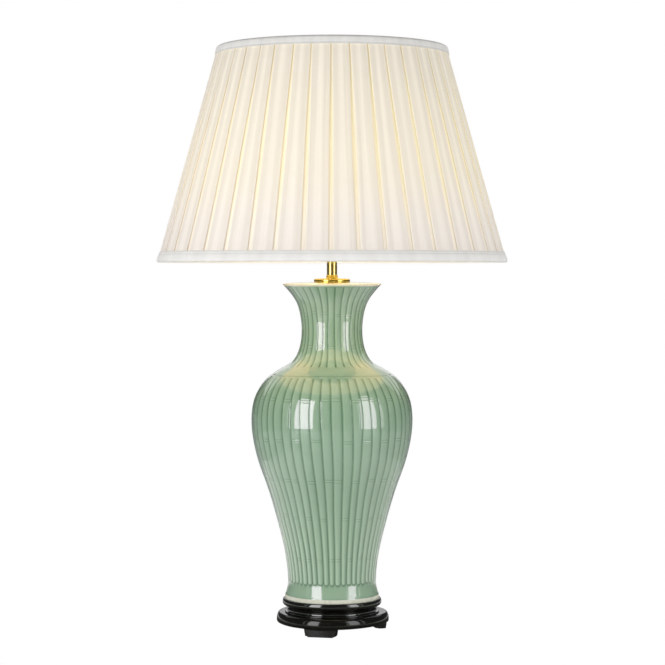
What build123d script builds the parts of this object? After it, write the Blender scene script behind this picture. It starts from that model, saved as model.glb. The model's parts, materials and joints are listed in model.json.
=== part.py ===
from build123d import *
import math
import os

# Vase table lamp: fluted celadon vase on a black three-footed stand, brass
# stem and lampholder, and an 18 inch box-pleated empire shade.
# Millimetres, +Z up, origin on the table at the lamp's axis. The front is -Y.
# Heights named below are measured from a datum 3 mm above the table.

os.makedirs("parts", exist_ok=True)

# ---------------------------------------------------------------- dimensions
# stand
datum_z = 3.0                # height of the datum above the table
pad_t = 1.2                  # felt pads under the feet
foot_bottom_z = pad_t - datum_z
plate_z0, plate_z1 = 7.5, 20.5
plate_r, plate_lobe = 73.4, 1.6
plate_edge_lo, plate_edge_hi = 1.8, 4.8  # rounded edges of the plate
lobe_angle = 256.8           # first foot, a little left of straight ahead
plate_bore_r = 26.0          # wiring space
plinth_recess_r, plinth_recess_z = 20.0, 26.0
seat_z, seat_r = 37.0, 62.0  # recess the vase stands in
foot_w, foot_r0, foot_r1 = 43.0, 54.0, 72.6
screw_ring_r, screw_r = 40.0, 1.9
cable_z = 14.0
bush_r, bush_bore_r = 3.9, 3.3
bush_y0, bush_y1 = 62.8, 72.4

# vase
vase_z0 = 38.0
vase_wall = 5.5
lip_z, lip_r = 449.0, 64.3
dome_z = 451.9
rod_hole_r = 6.5

# brassware
rod_r, rod_bore_r = 4.9, 3.5
rod_z0, rod_z1 = 19.5, 503.4
cap_gasket_t = 1.0
cap_r, cap_z0, cap_z1 = 23.5, 452.9, 457.0
collar_r, collar_z1 = 7.7, 461.0
stem_r, stem_z1 = 6.7, 495.0

# lampholder
holder_z0 = 495.0
bar_z, bar_r = 517.0, 2.6
bar_x0, bar_x1 = -20.5, 26.5
flange_r, flange_z0, flange_z1 = 23.5, 538.0, 540.0
thread_r, thread_z1 = 19.9, 557.5
socket_r = 13.35             # least radius inside the threaded socket
thread_pitch = 3.62

# retaining ring
ring_in_r, ring_out_r = 20.05, 24.0
ring_z0, ring_z1 = 541.8, 548.0

# bulb, 60 mm globe on a 27 mm screw cap
bulb_z0, bulb_z1 = 529.5, 637.0
bulb_r = 30.0
bulb_split = 574.0
bulb_cap_r = 13.1

# shade
shade_z0, shade_z1 = 476.8, 757.4
cone_r0, cone_slope = 227.8, 0.2818
cover_t = 2.2
wire_r, strut_r, arm_r = 1.75, 1.5, 1.9
ring_lo_z, ring_lo_r = 479.2, 222.9
ring_hi_z, ring_hi_r = 755.0, 145.1
lining_t = 0.7
n_struts, n_arms = 8, 3
arm_angle = 90.0
fitter_in_r, fitter_out_r = 20.7, 28.5
fitter_z0, fitter_z1 = 540.1, 541.6


# the three planes that sketches start from, all at the datum
level = Plane.XY.offset(datum_z)
front = Plane(origin=(0, 0, datum_z), x_dir=(1, 0, 0), z_dir=(0, -1, 0))
side = Plane(origin=(0, 0, datum_z), x_dir=(0, 1, 0), z_dir=(1, 0, 0))


def cone_r(z):
    """Outer radius of the shade's pleats at height z."""
    return cone_r0 - cone_slope * (z - shade_z0)


def line_r(z, lo, hi):
    """Radius at height z on the line between two (r, z) points."""
    return lo[0] + (hi[0] - lo[0]) * (z - lo[1]) / (hi[1] - lo[1])


def inward(points, wall):
    """The open profile moved towards the axis by the wall, along its normals."""
    out = []
    for i, (r, z) in enumerate(points):
        a, b = points[max(i - 1, 0)], points[min(i + 1, len(points) - 1)]
        dr, dz = b[0] - a[0], b[1] - a[1]
        n = math.hypot(dr, dz)
        out.append((r - wall * dz / n, z + wall * dr / n))
    return out


def wave(r_hi, r_lo, z0, z1, pitch, steps=4):
    """Points of a rolled thread's outline, as rings."""
    count = int((z1 - z0) / pitch * steps)
    pts = []
    for i in range(count + 1):
        z = z0 + (z1 - z0) * i / count
        c = (1 + math.cos(2 * math.pi * (z - z0) / pitch)) / 2
        pts.append((r_lo + (r_hi - r_lo) * c, z))
    return pts


# ------------------------------------------------------------------- stand
with BuildPart() as felt_pads:
    with BuildSketch(Plane.XY) as pads_sk:
        with PolarLocations(64.0, 3, start_angle=lobe_angle):
            Rectangle(11, 34)
        fillet(pads_sk.vertices(), 3)
    extrude(amount=pad_t)
felt_pads.part.label = "felt_pads"
export_step(felt_pads.part, "parts/felt_pads.step")

with BuildPart() as stand_feet:
    with BuildSketch(level.offset(plate_z0)) as feet_sk:
        with PolarLocations((foot_r0 + foot_r1 + 4) / 2, 3, start_angle=lobe_angle):
            Rectangle(foot_r1 + 4 - foot_r0, foot_w)
        Circle(foot_r1, mode=Mode.INTERSECT)
    extrude(amount=-(plate_z0 - foot_bottom_z), taper=7)
    fillet(stand_feet.edges().filter_by(lambda e: e.bounding_box().size.Z > 8), 1.6)
    # carved lines across the outer faces
    with BuildSketch(front) as carve_sk:
        for z in (0.6, 2.9, 5.2):
            with Locations((foot_r1 - 0.7, z)):
                Rectangle(1.6, 0.5)
    revolve(axis=Axis.Z, mode=Mode.SUBTRACT)
stand_feet.part.label = "stand_feet"
export_step(stand_feet.part, "parts/stand_feet.step")

with BuildPart() as stand_plate:
    with BuildSketch(level.offset(plate_z0)) as plate_sk:
        with BuildLine():
            Spline(
                *[
                    (
                        (plate_r + plate_lobe * math.cos(math.radians(3 * (a - lobe_angle)))) * math.cos(math.radians(a)),
                        (plate_r + plate_lobe * math.cos(math.radians(3 * (a - lobe_angle)))) * math.sin(math.radians(a)),
                    )
                    for a in range(0, 360, 15)
                ],
                periodic=True,
            )
        make_face()
    extrude(amount=plate_z1 - plate_z0)
    fillet(stand_plate.edges().sort_by(Axis.Z)[0], plate_edge_lo)
    fillet(stand_plate.edges().sort_by(Axis.Z)[-1], plate_edge_hi)
    with Locations((0, 0, datum_z + plate_z0)):
        Cylinder(plate_bore_r, plate_z1 - plate_z0, align=(Align.CENTER, Align.CENTER, Align.MIN), mode=Mode.SUBTRACT)
    # screw holes, countersunk from below
    with Locations(Plane(origin=(0, 0, datum_z + plate_z0), x_dir=(1, 0, 0), z_dir=(0, 0, -1))):
        with PolarLocations(screw_ring_r, 3, start_angle=-lobe_angle - 60):
            CounterSinkHole(radius=screw_r + 0.15, counter_sink_radius=4.0)
    # cable way to the back edge, with a flat seat for the bush
    with BuildSketch(front.offset(-(plate_bore_r - 3))) as cable_sk:
        with Locations((0, cable_z)):
            Circle(bush_r + 0.05)
    extrude(amount=-60, mode=Mode.SUBTRACT)
    with BuildSketch(front.offset(-(bush_y1 - 1.8))) as spot_sk:
        with Locations((0, cable_z)):
            Circle(5.0)
    extrude(amount=-12, mode=Mode.SUBTRACT)
stand_plate.part.label = "stand_plate"
export_step(stand_plate.part, "parts/stand_plate.step")

with BuildPart() as stand_plinth:
    with BuildSketch(front) as plinth_sk:
        with BuildLine():
            Polyline(
                (rod_r + 0.6, seat_z),
                (rod_r + 0.6, plinth_recess_z),
                (plinth_recess_r, plinth_recess_z),
                (plinth_recess_r, plate_z1),
                (61.0, plate_z1),
            )
            ThreePointArc((61.0, plate_z1), (61.9, 21.4), (61.0, 22.3))
            Line((61.0, 22.3), (58.3, 22.6))
            Line((58.3, 22.6), (57.9, 24.2))
            ThreePointArc((57.9, 24.2), (59.0, 27.6), (61.9, 29.6))
            Line((61.9, 29.6), (62.5, 30.1))
            ThreePointArc((62.5, 30.1), (64.9, 34.0), (63.5, 38.8))
            Polyline((63.5, 38.8), (seat_r, 38.8), (seat_r, seat_z), (rod_r + 0.6, seat_z))
        make_face()
    revolve(axis=Axis.Z)
    # pilot holes for the three screws
    with BuildSketch(level.offset(plate_z1)) as pilot_sk:
        with PolarLocations(screw_ring_r, 3, start_angle=lobe_angle + 60):
            Circle(screw_r + 0.05)
    extrude(amount=11, mode=Mode.SUBTRACT)
stand_plinth.part.label = "stand_plinth"
export_step(stand_plinth.part, "parts/stand_plinth.step")

with BuildPart() as stand_screws:
    with BuildSketch(front) as screw_sk:
        with BuildLine():
            Polyline(
                (0, plate_z0 + 0.2),
                (3.6, plate_z0 + 0.2),
                (screw_r, plate_z0 + 2.3),
                (screw_r, plate_z1 + 8.0),
                (0, plate_z1 + 10.5),
                close=True,
            )
        make_face()
    revolve(axis=Axis.Z)
    # cross recess in the head
    with Locations((0, 0, datum_z + plate_z0 + 0.2)):
        Box(4.2, 0.9, 2.4, mode=Mode.SUBTRACT)
        Box(0.9, 4.2, 2.4, mode=Mode.SUBTRACT)
one_screw = stand_screws.part
with BuildPart() as stand_screws:
    with PolarLocations(screw_ring_r, 3, start_angle=lobe_angle + 60):
        add(one_screw)
stand_screws.part.label = "stand_screws"
export_step(stand_screws.part, "parts/stand_screws.step")

with BuildPart() as rod_nut:
    with BuildSketch(level.offset(20.6)) as nut_sk:
        RegularPolygon(radius=8.1, side_count=6)
        Circle(rod_r + 0.05, mode=Mode.SUBTRACT)
    extrude(amount=3.4)
    chamfer(rod_nut.edges().filter_by(lambda e: e.bounding_box().size.Z < 0.01 and e.length < 9), 0.4)
rod_nut.part.label = "rod_nut"
export_step(rod_nut.part, "parts/rod_nut.step")

with BuildPart() as rod_washer:
    with BuildSketch(level.offset(24.1)) as washer_sk:
        Circle(14.0)
        Circle(rod_r + 0.3, mode=Mode.SUBTRACT)
    extrude(amount=1.9)
rod_washer.part.label = "rod_washer"
export_step(rod_washer.part, "parts/rod_washer.step")

with BuildPart() as cable_bush:
    with BuildSketch(front.offset(-bush_y0)) as bush_sk:
        with Locations((0, cable_z)):
            Circle(bush_r)
    extrude(amount=-(bush_y1 - bush_y0))
    with BuildSketch(front.offset(-(bush_y1 - 1.75))) as flange_sk:
        with Locations((0, cable_z)):
            Circle(4.85)
    extrude(amount=-1.75)
    with BuildSketch(front.offset(-bush_y0)) as bore_sk:
        with Locations((0, cable_z)):
            Circle(bush_bore_r)
    extrude(amount=-(bush_y1 - bush_y0), mode=Mode.SUBTRACT)
cable_bush.part.label = "cable_bush"
export_step(cable_bush.part, "parts/cable_bush.step")

with BuildPart() as vase_gasket:
    with BuildSketch(level.offset(seat_z)) as gasket_sk:
        Circle(59.0)
        Circle(50.0, mode=Mode.SUBTRACT)
    extrude(amount=vase_z0 - seat_z)
vase_gasket.part.label = "vase_gasket"
export_step(vase_gasket.part, "parts/vase_gasket.step")

# -------------------------------------------------------------------- vase
vase_side = [
    (61.6, 39.6),
    (61.3, 43.5),
    (60.2, 48.5),
    (58.6, 55.0),
    (57.7, 62.0),
    (57.8, 69.0),
    (58.8, 80.0),
    (61.1, 96.0),
    (64.9, 114.5),
    (70.9, 138.0),
    (78.4, 165.0),
    (87.4, 192.5),
    (94.5, 212.0),
    (100.2, 232.0),
    (103.7, 250.0),
    (105.4, 268.0),
    (104.8, 284.0),
    (101.6, 299.5),
    (95.0, 313.5),
    (85.0, 326.5),
    (74.0, 335.0),
    (62.5, 341.6),
    (52.5, 348.2),
    (45.8, 357.5),
    (41.8, 369.0),
    (39.8, 383.5),
    (39.9, 396.5),
    (41.8, 410.5),
    (46.0, 424.5),
    (53.0, 435.8),
    (62.6, 447.0),
]
vase_inner = inward(vase_side[4:-2], vase_wall)

with BuildPart() as vase:
    with BuildSketch(front) as vase_sk:
        with BuildLine():
            Spline(*vase_side)
            # lip, then the slightly domed closed top
            ThreePointArc((62.6, 447.0), (64.3, 448.9), (62.9, 450.0))
            ThreePointArc((62.9, 450.0), (43.0, 451.4), (24.0, dome_z))
            Line((24.0, dome_z), (rod_hole_r, dome_z))
            Line((rod_hole_r, dome_z), (rod_hole_r, dome_z - 6.0))
            Line((rod_hole_r, dome_z - 6.0), (36.0, dome_z - 7.2))
            Line((36.0, dome_z - 7.2), vase_inner[-1])
            Spline(*list(reversed(vase_inner)))
            Line(vase_inner[0], (45.0, 49.0))
            Line((45.0, 49.0), (rod_hole_r, 49.0))
            Line((rod_hole_r, 49.0), (rod_hole_r, 43.0))
            Line((rod_hole_r, 43.0), (46.0, 43.0))
            Line((46.0, 43.0), (49.5, vase_z0))
            Line((49.5, vase_z0), (60.2, vase_z0))
            ThreePointArc((60.2, vase_z0), (61.2, 38.4), (61.6, 39.6))
        make_face()
    revolve(axis=Axis.Z)
vase.part.label = "vase"
export_step(vase.part, "parts/vase.step")

# --------------------------------------------------------------- brassware
with BuildPart() as threaded_rod:
    with BuildSketch(level.offset(rod_z0)) as rod_sk:
        Circle(rod_r)
        Circle(rod_bore_r, mode=Mode.SUBTRACT)
    extrude(amount=rod_z1 - rod_z0)
threaded_rod.part.label = "threaded_rod"
export_step(threaded_rod.part, "parts/threaded_rod.step")

with BuildPart() as cap_gasket:
    with BuildSketch(level.offset(dome_z)) as cap_gasket_sk:
        Circle(20.0)
        Circle(rod_r + 0.4, mode=Mode.SUBTRACT)
    extrude(amount=cap_gasket_t)
cap_gasket.part.label = "cap_gasket"
export_step(cap_gasket.part, "parts/cap_gasket.step")

with BuildPart() as vase_cap:
    with BuildSketch(front) as cap_sk:
        with BuildLine():
            Polyline((rod_r + 0.15, cap_z0), (22.4, cap_z0))
            ThreePointArc((22.4, cap_z0), (cap_r, 454.4), (22.6, 455.9))
            ThreePointArc((22.6, 455.9), (15.0, 456.8), (9.0, cap_z1))
            Polyline((9.0, cap_z1), (rod_r + 0.15, cap_z1), (rod_r + 0.15, cap_z0))
        make_face()
    revolve(axis=Axis.Z)
vase_cap.part.label = "vase_cap"
export_step(vase_cap.part, "parts/vase_cap.step")

with BuildPart() as check_ring:
    with BuildSketch(front) as collar_sk:
        with BuildLine():
            Polyline((rod_r + 0.15, cap_z1), (8.6, cap_z1))
            ThreePointArc((8.6, cap_z1), (7.5, 457.9), (7.3, 458.6))
            ThreePointArc((7.3, 458.6), (collar_r, 459.8), (7.2, collar_z1))
            Polyline((7.2, collar_z1), (rod_r + 0.15, collar_z1), (rod_r + 0.15, cap_z1))
        make_face()
    revolve(axis=Axis.Z)
check_ring.part.label = "check_ring"
export_step(check_ring.part, "parts/check_ring.step")

with BuildPart() as stem_tube:
    with BuildSketch(level.offset(collar_z1)) as stem_sk:
        Circle(stem_r)
        Circle(rod_r + 0.6, mode=Mode.SUBTRACT)
    extrude(amount=stem_z1 - collar_z1)
stem_tube.part.label = "stem_tube"
export_step(stem_tube.part, "parts/stem_tube.step")

# -------------------------------------------------------------- lampholder
with BuildPart() as holder_cap:
    with BuildSketch(front) as hcap_sk:
        with BuildLine():
            Polyline((rod_r + 0.05, holder_z0), (7.4, holder_z0), (7.6, 501.0))
            ThreePointArc((7.6, 501.0), (8.6, 503.2), (11.0, 504.2))
            ThreePointArc((11.0, 504.2), (15.6, 506.4), (17.5, 511.0))
            Polyline(
                (17.5, 511.0),
                (17.5, 526.0),
                (16.4, 526.0),
                (16.4, 511.4),
            )
            ThreePointArc((16.4, 511.4), (14.7, 507.3), (10.8, 505.4))
            Polyline((10.8, 505.4), (rod_r + 0.05, 505.0), (rod_r + 0.05, holder_z0))
        make_face()
    revolve(axis=Axis.Z)
    with BuildSketch(side.offset(-20)) as hcap_hole_sk:
        with Locations((0, bar_z)):
            Circle(bar_r + 0.35)
    extrude(amount=40, mode=Mode.SUBTRACT)
    # grub screw hole in the entry
    with BuildSketch(front.offset(4)) as hcap_grub_sk:
        with Locations((0, 498.2)):
            Circle(1.45)
    extrude(amount=6, mode=Mode.SUBTRACT)
holder_cap.part.label = "holder_cap"
export_step(holder_cap.part, "parts/holder_cap.step")

with BuildPart() as grub_screw:
    with BuildSketch(front.offset(5.05)) as grub_sk:
        with Locations((0, 498.2)):
            Circle(1.4)
    extrude(amount=2.9)
    with BuildSketch(front.offset(7.4)) as grub_slot_sk:
        with Locations((0, 498.2)):
            Rectangle(2.9, 0.5)
    extrude(amount=1, mode=Mode.SUBTRACT)
grub_screw.part.label = "grub_screw"
export_step(grub_screw.part, "parts/grub_screw.step")

with BuildPart() as switch_block:
    with BuildSketch(level.offset(510.0)) as block_sk:
        Circle(13.9)
        with PolarLocations(9.0, 2, start_angle=90):
            Circle(1.5, mode=Mode.SUBTRACT)
    extrude(amount=13.6)
    with BuildSketch(side.offset(-20)) as block_hole_sk:
        with Locations((0, bar_z)):
            Circle(bar_r + 0.2)
    extrude(amount=40, mode=Mode.SUBTRACT)
switch_block.part.label = "switch_block"
export_step(switch_block.part, "parts/switch_block.step")

with BuildPart() as terminal_screws:
    with PolarLocations(9.0, 2, start_angle=90):
        with Locations((0, 0, datum_z + 508.4)):
            Cylinder(2.6, 1.6, align=(Align.CENTER, Align.CENTER, Align.MIN))
            Cylinder(1.4, 4.6, align=(Align.CENTER, Align.CENTER, Align.MIN))
    with PolarLocations(9.0, 2, start_angle=90):
        with Locations((0, 0, datum_z + 508.4)):
            Box(5.4, 0.7, 1.4, mode=Mode.SUBTRACT)
terminal_screws.part.label = "terminal_screws"
export_step(terminal_screws.part, "parts/terminal_screws.step")

with BuildPart() as switch_bar:
    with BuildSketch(side.offset(bar_x0)) as bar_sk:
        with Locations((0, bar_z)):
            Circle(bar_r)
    extrude(amount=bar_x1 - bar_x0)
    fillet(switch_bar.edges().sort_by(Axis.X)[0], 1.2)
    fillet(switch_bar.edges().sort_by(Axis.X)[-1], 1.2)
switch_bar.part.label = "switch_bar"
export_step(switch_bar.part, "parts/switch_bar.step")

with BuildPart() as holder_shell:
    with BuildSketch(front) as shell_sk:
        with BuildLine():
            Polyline(
                (17.6, 521.5),
                (18.8, 521.5),
                (19.0, 523.0),
                (19.0, flange_z0 - 1.2),
                (20.0, flange_z0),
                (flange_r, flange_z0),
                (flange_r, flange_z1),
                (thread_r - 0.8, flange_z1),
                *wave(thread_r, thread_r - 0.7, flange_z1 + 0.6, thread_z1 - 0.6, 2.0),
                (thread_r - 0.8, thread_z1),
                (15.2, thread_z1),
                (15.2, thread_z1 - 1.2),
                (17.6, thread_z1 - 1.2),
                close=True,
            )
        make_face()
    revolve(axis=Axis.Z)
holder_shell.part.label = "holder_shell"
export_step(holder_shell.part, "parts/holder_shell.step")

with BuildPart() as holder_insulator:
    with BuildSketch(front) as insul_sk:
        with BuildLine():
            Polyline(
                (2.2, 524.0),
                (16.2, 524.0),
                (16.2, 526.4),
                (17.4, 526.4),
                (17.4, thread_z1 - 1.4),
                (14.35, thread_z1 - 1.4),
                (14.35, 528.6),
                (2.2, 528.6),
                close=True,
            )
        make_face()
    revolve(axis=Axis.Z)
holder_insulator.part.label = "holder_insulator"
export_step(holder_insulator.part, "parts/holder_insulator.step")

with BuildPart() as socket_shell:
    with BuildSketch(front) as sock_sk:
        with BuildLine():
            Polyline(
                *[(r, z) for r, z in wave(socket_r + 0.5, socket_r, 530.4, 554.5, thread_pitch)],
                (14.2, 554.5),
                (14.25, 528.8),
                (12.4, 528.8),
                (12.4, 529.3),
                (socket_r + 0.45, 529.3),
                close=True,
            )
        make_face()
    revolve(axis=Axis.Z)
socket_shell.part.label = "socket_shell"
export_step(socket_shell.part, "parts/socket_shell.step")

with BuildPart() as centre_contact:
    with BuildSketch(level.offset(528.6)) as contact_sk:
        Rectangle(15, 5)
    extrude(amount=0.5)
    with BuildSketch(level.offset(523.7)) as rivet_sk:
        Circle(1.9)
    extrude(amount=5.0)
centre_contact.part.label = "centre_contact"
export_step(centre_contact.part, "parts/centre_contact.step")

with BuildPart() as retaining_ring:
    with BuildSketch(front) as rr_sk:
        with BuildLine():
            Polyline(
                (ring_in_r, ring_z0),
                (ring_out_r - 0.4, ring_z0),
                (ring_out_r, ring_z0 + 0.4),
                (ring_out_r, ring_z0 + 2.0),
                (22.2, ring_z0 + 2.4),
                (22.0, ring_z1),
                (ring_in_r, ring_z1),
                close=True,
            )
        make_face()
    revolve(axis=Axis.Z)
    # finger notches
    with BuildSketch(level.offset(ring_z0 - 1)) as notch_sk:
        with PolarLocations(ring_out_r + 0.7, 16):
            Circle(1.5)
    extrude(amount=9, mode=Mode.SUBTRACT)
retaining_ring.part.label = "retaining_ring"
export_step(retaining_ring.part, "parts/retaining_ring.step")

# -------------------------------------------------------------------- bulb
# the blown glass is made as two nodes, its globe and its neck, which meet at bulb_split
bulb_side = [
    (12.4, 555.2),
    (13.6, 562.0),
    (17.0, 571.5),
    (22.6, 582.0),
    (27.8, 593.0),
    (bulb_r, 606.0),
    (27.6, 619.5),
    (20.0, 630.8),
    (9.5, 636.2),
    (0, bulb_z1),
]
with BuildSketch(front) as glass_sk:
    with BuildLine():
        Spline(*bulb_side, tangents=((0.1, 1), (-1, 0)))
        Line((0, bulb_z1), (0, bulb_z1 - 1.0))
        Spline(
            *[(0, bulb_z1 - 1.0)] + [(r, z) for r, z in reversed(inward(bulb_side[:-1], 1.0))],
            tangents=((1, 0), (-0.1, -1)),
        )
        Polyline(inward(bulb_side[:-1], 1.0)[0], (10.6, 553.0), (10.6, 543.0), (11.5, 543.0), (11.5, 554.2), (12.4, 555.2))
    make_face()
with BuildPart() as bulb_globe:
    add(glass_sk.sketch)
    revolve(axis=Axis.Z)
    split(bisect_by=level.offset(bulb_split), keep=Keep.TOP)
bulb_globe.part.label = "bulb_globe"
export_step(bulb_globe.part, "parts/bulb_globe.step")

with BuildPart() as bulb_neck:
    add(glass_sk.sketch)
    revolve(axis=Axis.Z)
    split(bisect_by=level.offset(bulb_split), keep=Keep.BOTTOM)
bulb_neck.part.label = "bulb_neck"
export_step(bulb_neck.part, "parts/bulb_neck.step")

with BuildPart() as bulb_cap:
    with BuildSketch(front) as bcap_sk:
        with BuildLine():
            Polyline(
                (11.6, 534.6),
                (12.3, 534.6),
                *wave(bulb_cap_r, bulb_cap_r - 0.55, 536.0, 550.5, thread_pitch),
                (12.5, 551.4),
                (12.9, 553.6),
                (11.6, 553.9),
                close=True,
            )
        make_face()
    revolve(axis=Axis.Z)
bulb_cap.part.label = "bulb_cap"
export_step(bulb_cap.part, "parts/bulb_cap.step")

with BuildPart() as bulb_cap_insulator:
    with BuildSketch(front) as bins_sk:
        with BuildLine():
            Polyline(
                (0, bulb_z0 + 1.2),
                (5.0, bulb_z0 + 1.2),
                (8.5, 532.4),
                (11.5, 534.4),
                (11.5, 536.4),
                (0, 536.4),
                close=True,
            )
        make_face()
    revolve(axis=Axis.Z)
bulb_cap_insulator.part.label = "bulb_cap_insulator"
export_step(bulb_cap_insulator.part, "parts/bulb_cap_insulator.step")

with BuildPart() as bulb_contact:
    with BuildSketch(front) as bcon_sk:
        with BuildLine():
            Polyline(
                (0, bulb_z0),
                (3.2, bulb_z0 + 0.1),
                (4.6, bulb_z0 + 0.7),
                (4.6, bulb_z0 + 1.2),
                (0, bulb_z0 + 1.2),
                close=True,
            )
        make_face()
    revolve(axis=Axis.Z)
bulb_contact.part.label = "bulb_contact"
export_step(bulb_contact.part, "parts/bulb_contact.step")

# ------------------------------------------------------------------- shade
with BuildPart() as shade_bottom_ring:
    with BuildSketch(front) as sbr_sk:
        with Locations((ring_lo_r, ring_lo_z)):
            Circle(wire_r)
    revolve(axis=Axis.Z)
shade_bottom_ring.part.label = "shade_bottom_ring"
export_step(shade_bottom_ring.part, "parts/shade_bottom_ring.step")

with BuildPart() as shade_top_ring:
    with BuildSketch(front) as str_sk:
        with Locations((ring_hi_r, ring_hi_z)):
            Circle(wire_r)
    revolve(axis=Axis.Z)
shade_top_ring.part.label = "shade_top_ring"
export_step(shade_top_ring.part, "parts/shade_top_ring.step")


def spoke(angle, r0, z0, r1, z1, radius):
    """A straight wire between two points on one side of the axis."""
    a = math.radians(angle)
    p = Vector(r0 * math.cos(a), r0 * math.sin(a), datum_z + z0)
    q = Vector(r1 * math.cos(a), r1 * math.sin(a), datum_z + z1)
    return Plane(origin=p, z_dir=q - p), (q - p).length, radius


with BuildPart() as shade_struts:
    for i in range(n_struts):
        plane, length, radius = spoke(22.5 + i * 360 / n_struts, ring_lo_r, ring_lo_z, ring_hi_r, ring_hi_z, strut_r)
        with BuildSketch(plane):
            Circle(radius)
        extrude(amount=length)
shade_struts.part.label = "shade_struts"
export_step(shade_struts.part, "parts/shade_struts.step")

with BuildPart() as shade_arms:
    for i in range(n_arms):
        plane, length, radius = spoke(arm_angle + i * 360 / n_arms, fitter_out_r - 2.1, (fitter_z0 + fitter_z1) / 2, ring_lo_r, ring_lo_z, arm_r)
        with BuildSketch(plane):
            Circle(radius)
        extrude(amount=length)
shade_arms.part.label = "shade_arms"
export_step(shade_arms.part, "parts/shade_arms.step")

with BuildPart() as shade_fitter_ring:
    with BuildSketch(level.offset(fitter_z0)) as fit_sk:
        Circle(fitter_out_r)
        Circle(fitter_in_r, mode=Mode.SUBTRACT)
    extrude(amount=fitter_z1 - fitter_z0)
    fillet(shade_fitter_ring.edges().filter_by(GeomType.CIRCLE).group_by(SortBy.RADIUS)[-1], 0.5)
shade_fitter_ring.part.label = "shade_fitter_ring"
export_step(shade_fitter_ring.part, "parts/shade_fitter_ring.step")

cover_lo, cover_hi = 478.2, 756.2
with BuildPart() as shade_cover:
    with BuildSketch(front) as cover_sk:
        with BuildLine():
            Polyline(
                (cone_r(cover_lo), cover_lo),
                (cone_r(cover_hi), cover_hi),
                (cone_r(cover_hi) - cover_t, cover_hi),
                (cone_r(cover_lo) - cover_t, cover_lo),
                close=True,
            )
        make_face()
    revolve(axis=Axis.Z)
shade_cover.part.label = "shade_cover"
export_step(shade_cover.part, "parts/shade_cover.step")

lin_lo = (ring_lo_r - wire_r - 0.25, ring_lo_z)
lin_hi = (ring_hi_r - wire_r - 0.25, ring_hi_z)
with BuildPart() as shade_lining:
    with BuildSketch(front) as lining_sk:
        with BuildLine():
            z0, z1 = 478.6, 755.6
            Polyline(
                (line_r(z0, lin_lo, lin_hi), z0),
                (line_r(z1, lin_lo, lin_hi), z1),
                (line_r(z1, lin_lo, lin_hi) - lining_t, z1),
                (line_r(z0, lin_lo, lin_hi) - lining_t, z0),
                close=True,
            )
        make_face()
    revolve(axis=Axis.Z)
    # slits where the arms pass
    for i in range(n_arms):
        plane, length, radius = spoke(arm_angle + i * 360 / n_arms, fitter_out_r - 2.1, (fitter_z0 + fitter_z1) / 2, ring_lo_r, ring_lo_z, arm_r + 0.35)
        with BuildSketch(plane):
            Circle(radius)
        extrude(amount=length, mode=Mode.SUBTRACT)
shade_lining.part.label = "shade_lining"
export_step(shade_lining.part, "parts/shade_lining.step")

with BuildPart() as bottom_trim:
    with BuildSketch(front) as btrim_sk:
        with BuildLine():
            Polyline(
                (220.3, shade_z0),
                (226.4, shade_z0),
                (228.0, shade_z0 + 0.8),
                (228.6, shade_z0 + 2.6),
                (228.5, shade_z0 + 4.6),
                (cone_r(484.6) + 1.3, 484.6),
                (cone_r(488.4) + 0.9, 488.4),
                (cone_r(488.6) + 0.1, 488.6),
                (cone_r(478.1) + 0.1, 478.1),
                (cone_r(478.0) - 0.9, 477.4),
                (221.3, 477.4),
                (line_r(478.6, lin_lo, lin_hi) - lining_t - 0.1, 478.4),
                (line_r(486.0, lin_lo, lin_hi) - lining_t - 0.1, 486.0),
                (line_r(486.0, lin_lo, lin_hi) - lining_t - 0.7, 486.0),
                (line_r(478.6, lin_lo, lin_hi) - lining_t - 0.9, 478.0),
                close=True,
            )
        make_face()
    revolve(axis=Axis.Z)
    for i in range(n_arms):
        plane, length, radius = spoke(arm_angle + i * 360 / n_arms, fitter_out_r - 2.1, (fitter_z0 + fitter_z1) / 2, ring_lo_r, ring_lo_z, arm_r + 0.35)
        with BuildSketch(plane):
            Circle(radius)
        extrude(amount=length, mode=Mode.SUBTRACT)
bottom_trim.part.label = "bottom_trim"
export_step(bottom_trim.part, "parts/bottom_trim.step")

with BuildPart() as top_trim:
    with BuildSketch(front) as ttrim_sk:
        with BuildLine():
            Polyline(
                (cone_r(747.2) + 0.1, 747.2),
                (cone_r(747.3) + 0.9, 747.3),
                (cone_r(753.0) + 1.3, 753.0),
                (150.7, 755.4),
                (149.4, 756.9),
                (147.8, shade_z1),
                (143.6, shade_z1),
                (142.4, 756.6),
                (line_r(749.0, lin_lo, lin_hi) - lining_t - 0.7, 749.0),
                (line_r(749.0, lin_lo, lin_hi) - lining_t - 0.1, 749.0),
                (line_r(755.8, lin_lo, lin_hi) - lining_t - 0.1, 755.8),
                (143.6, 756.85),
                (147.6, 756.85),
                (cone_r(756.3) + 0.1, 756.3),
                close=True,
            )
        make_face()
    revolve(axis=Axis.Z)
top_trim.part.label = "top_trim"
export_step(top_trim.part, "parts/top_trim.step")
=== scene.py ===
import json
import math

import bpy
import numpy as np
from mathutils import Matrix, Vector


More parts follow.
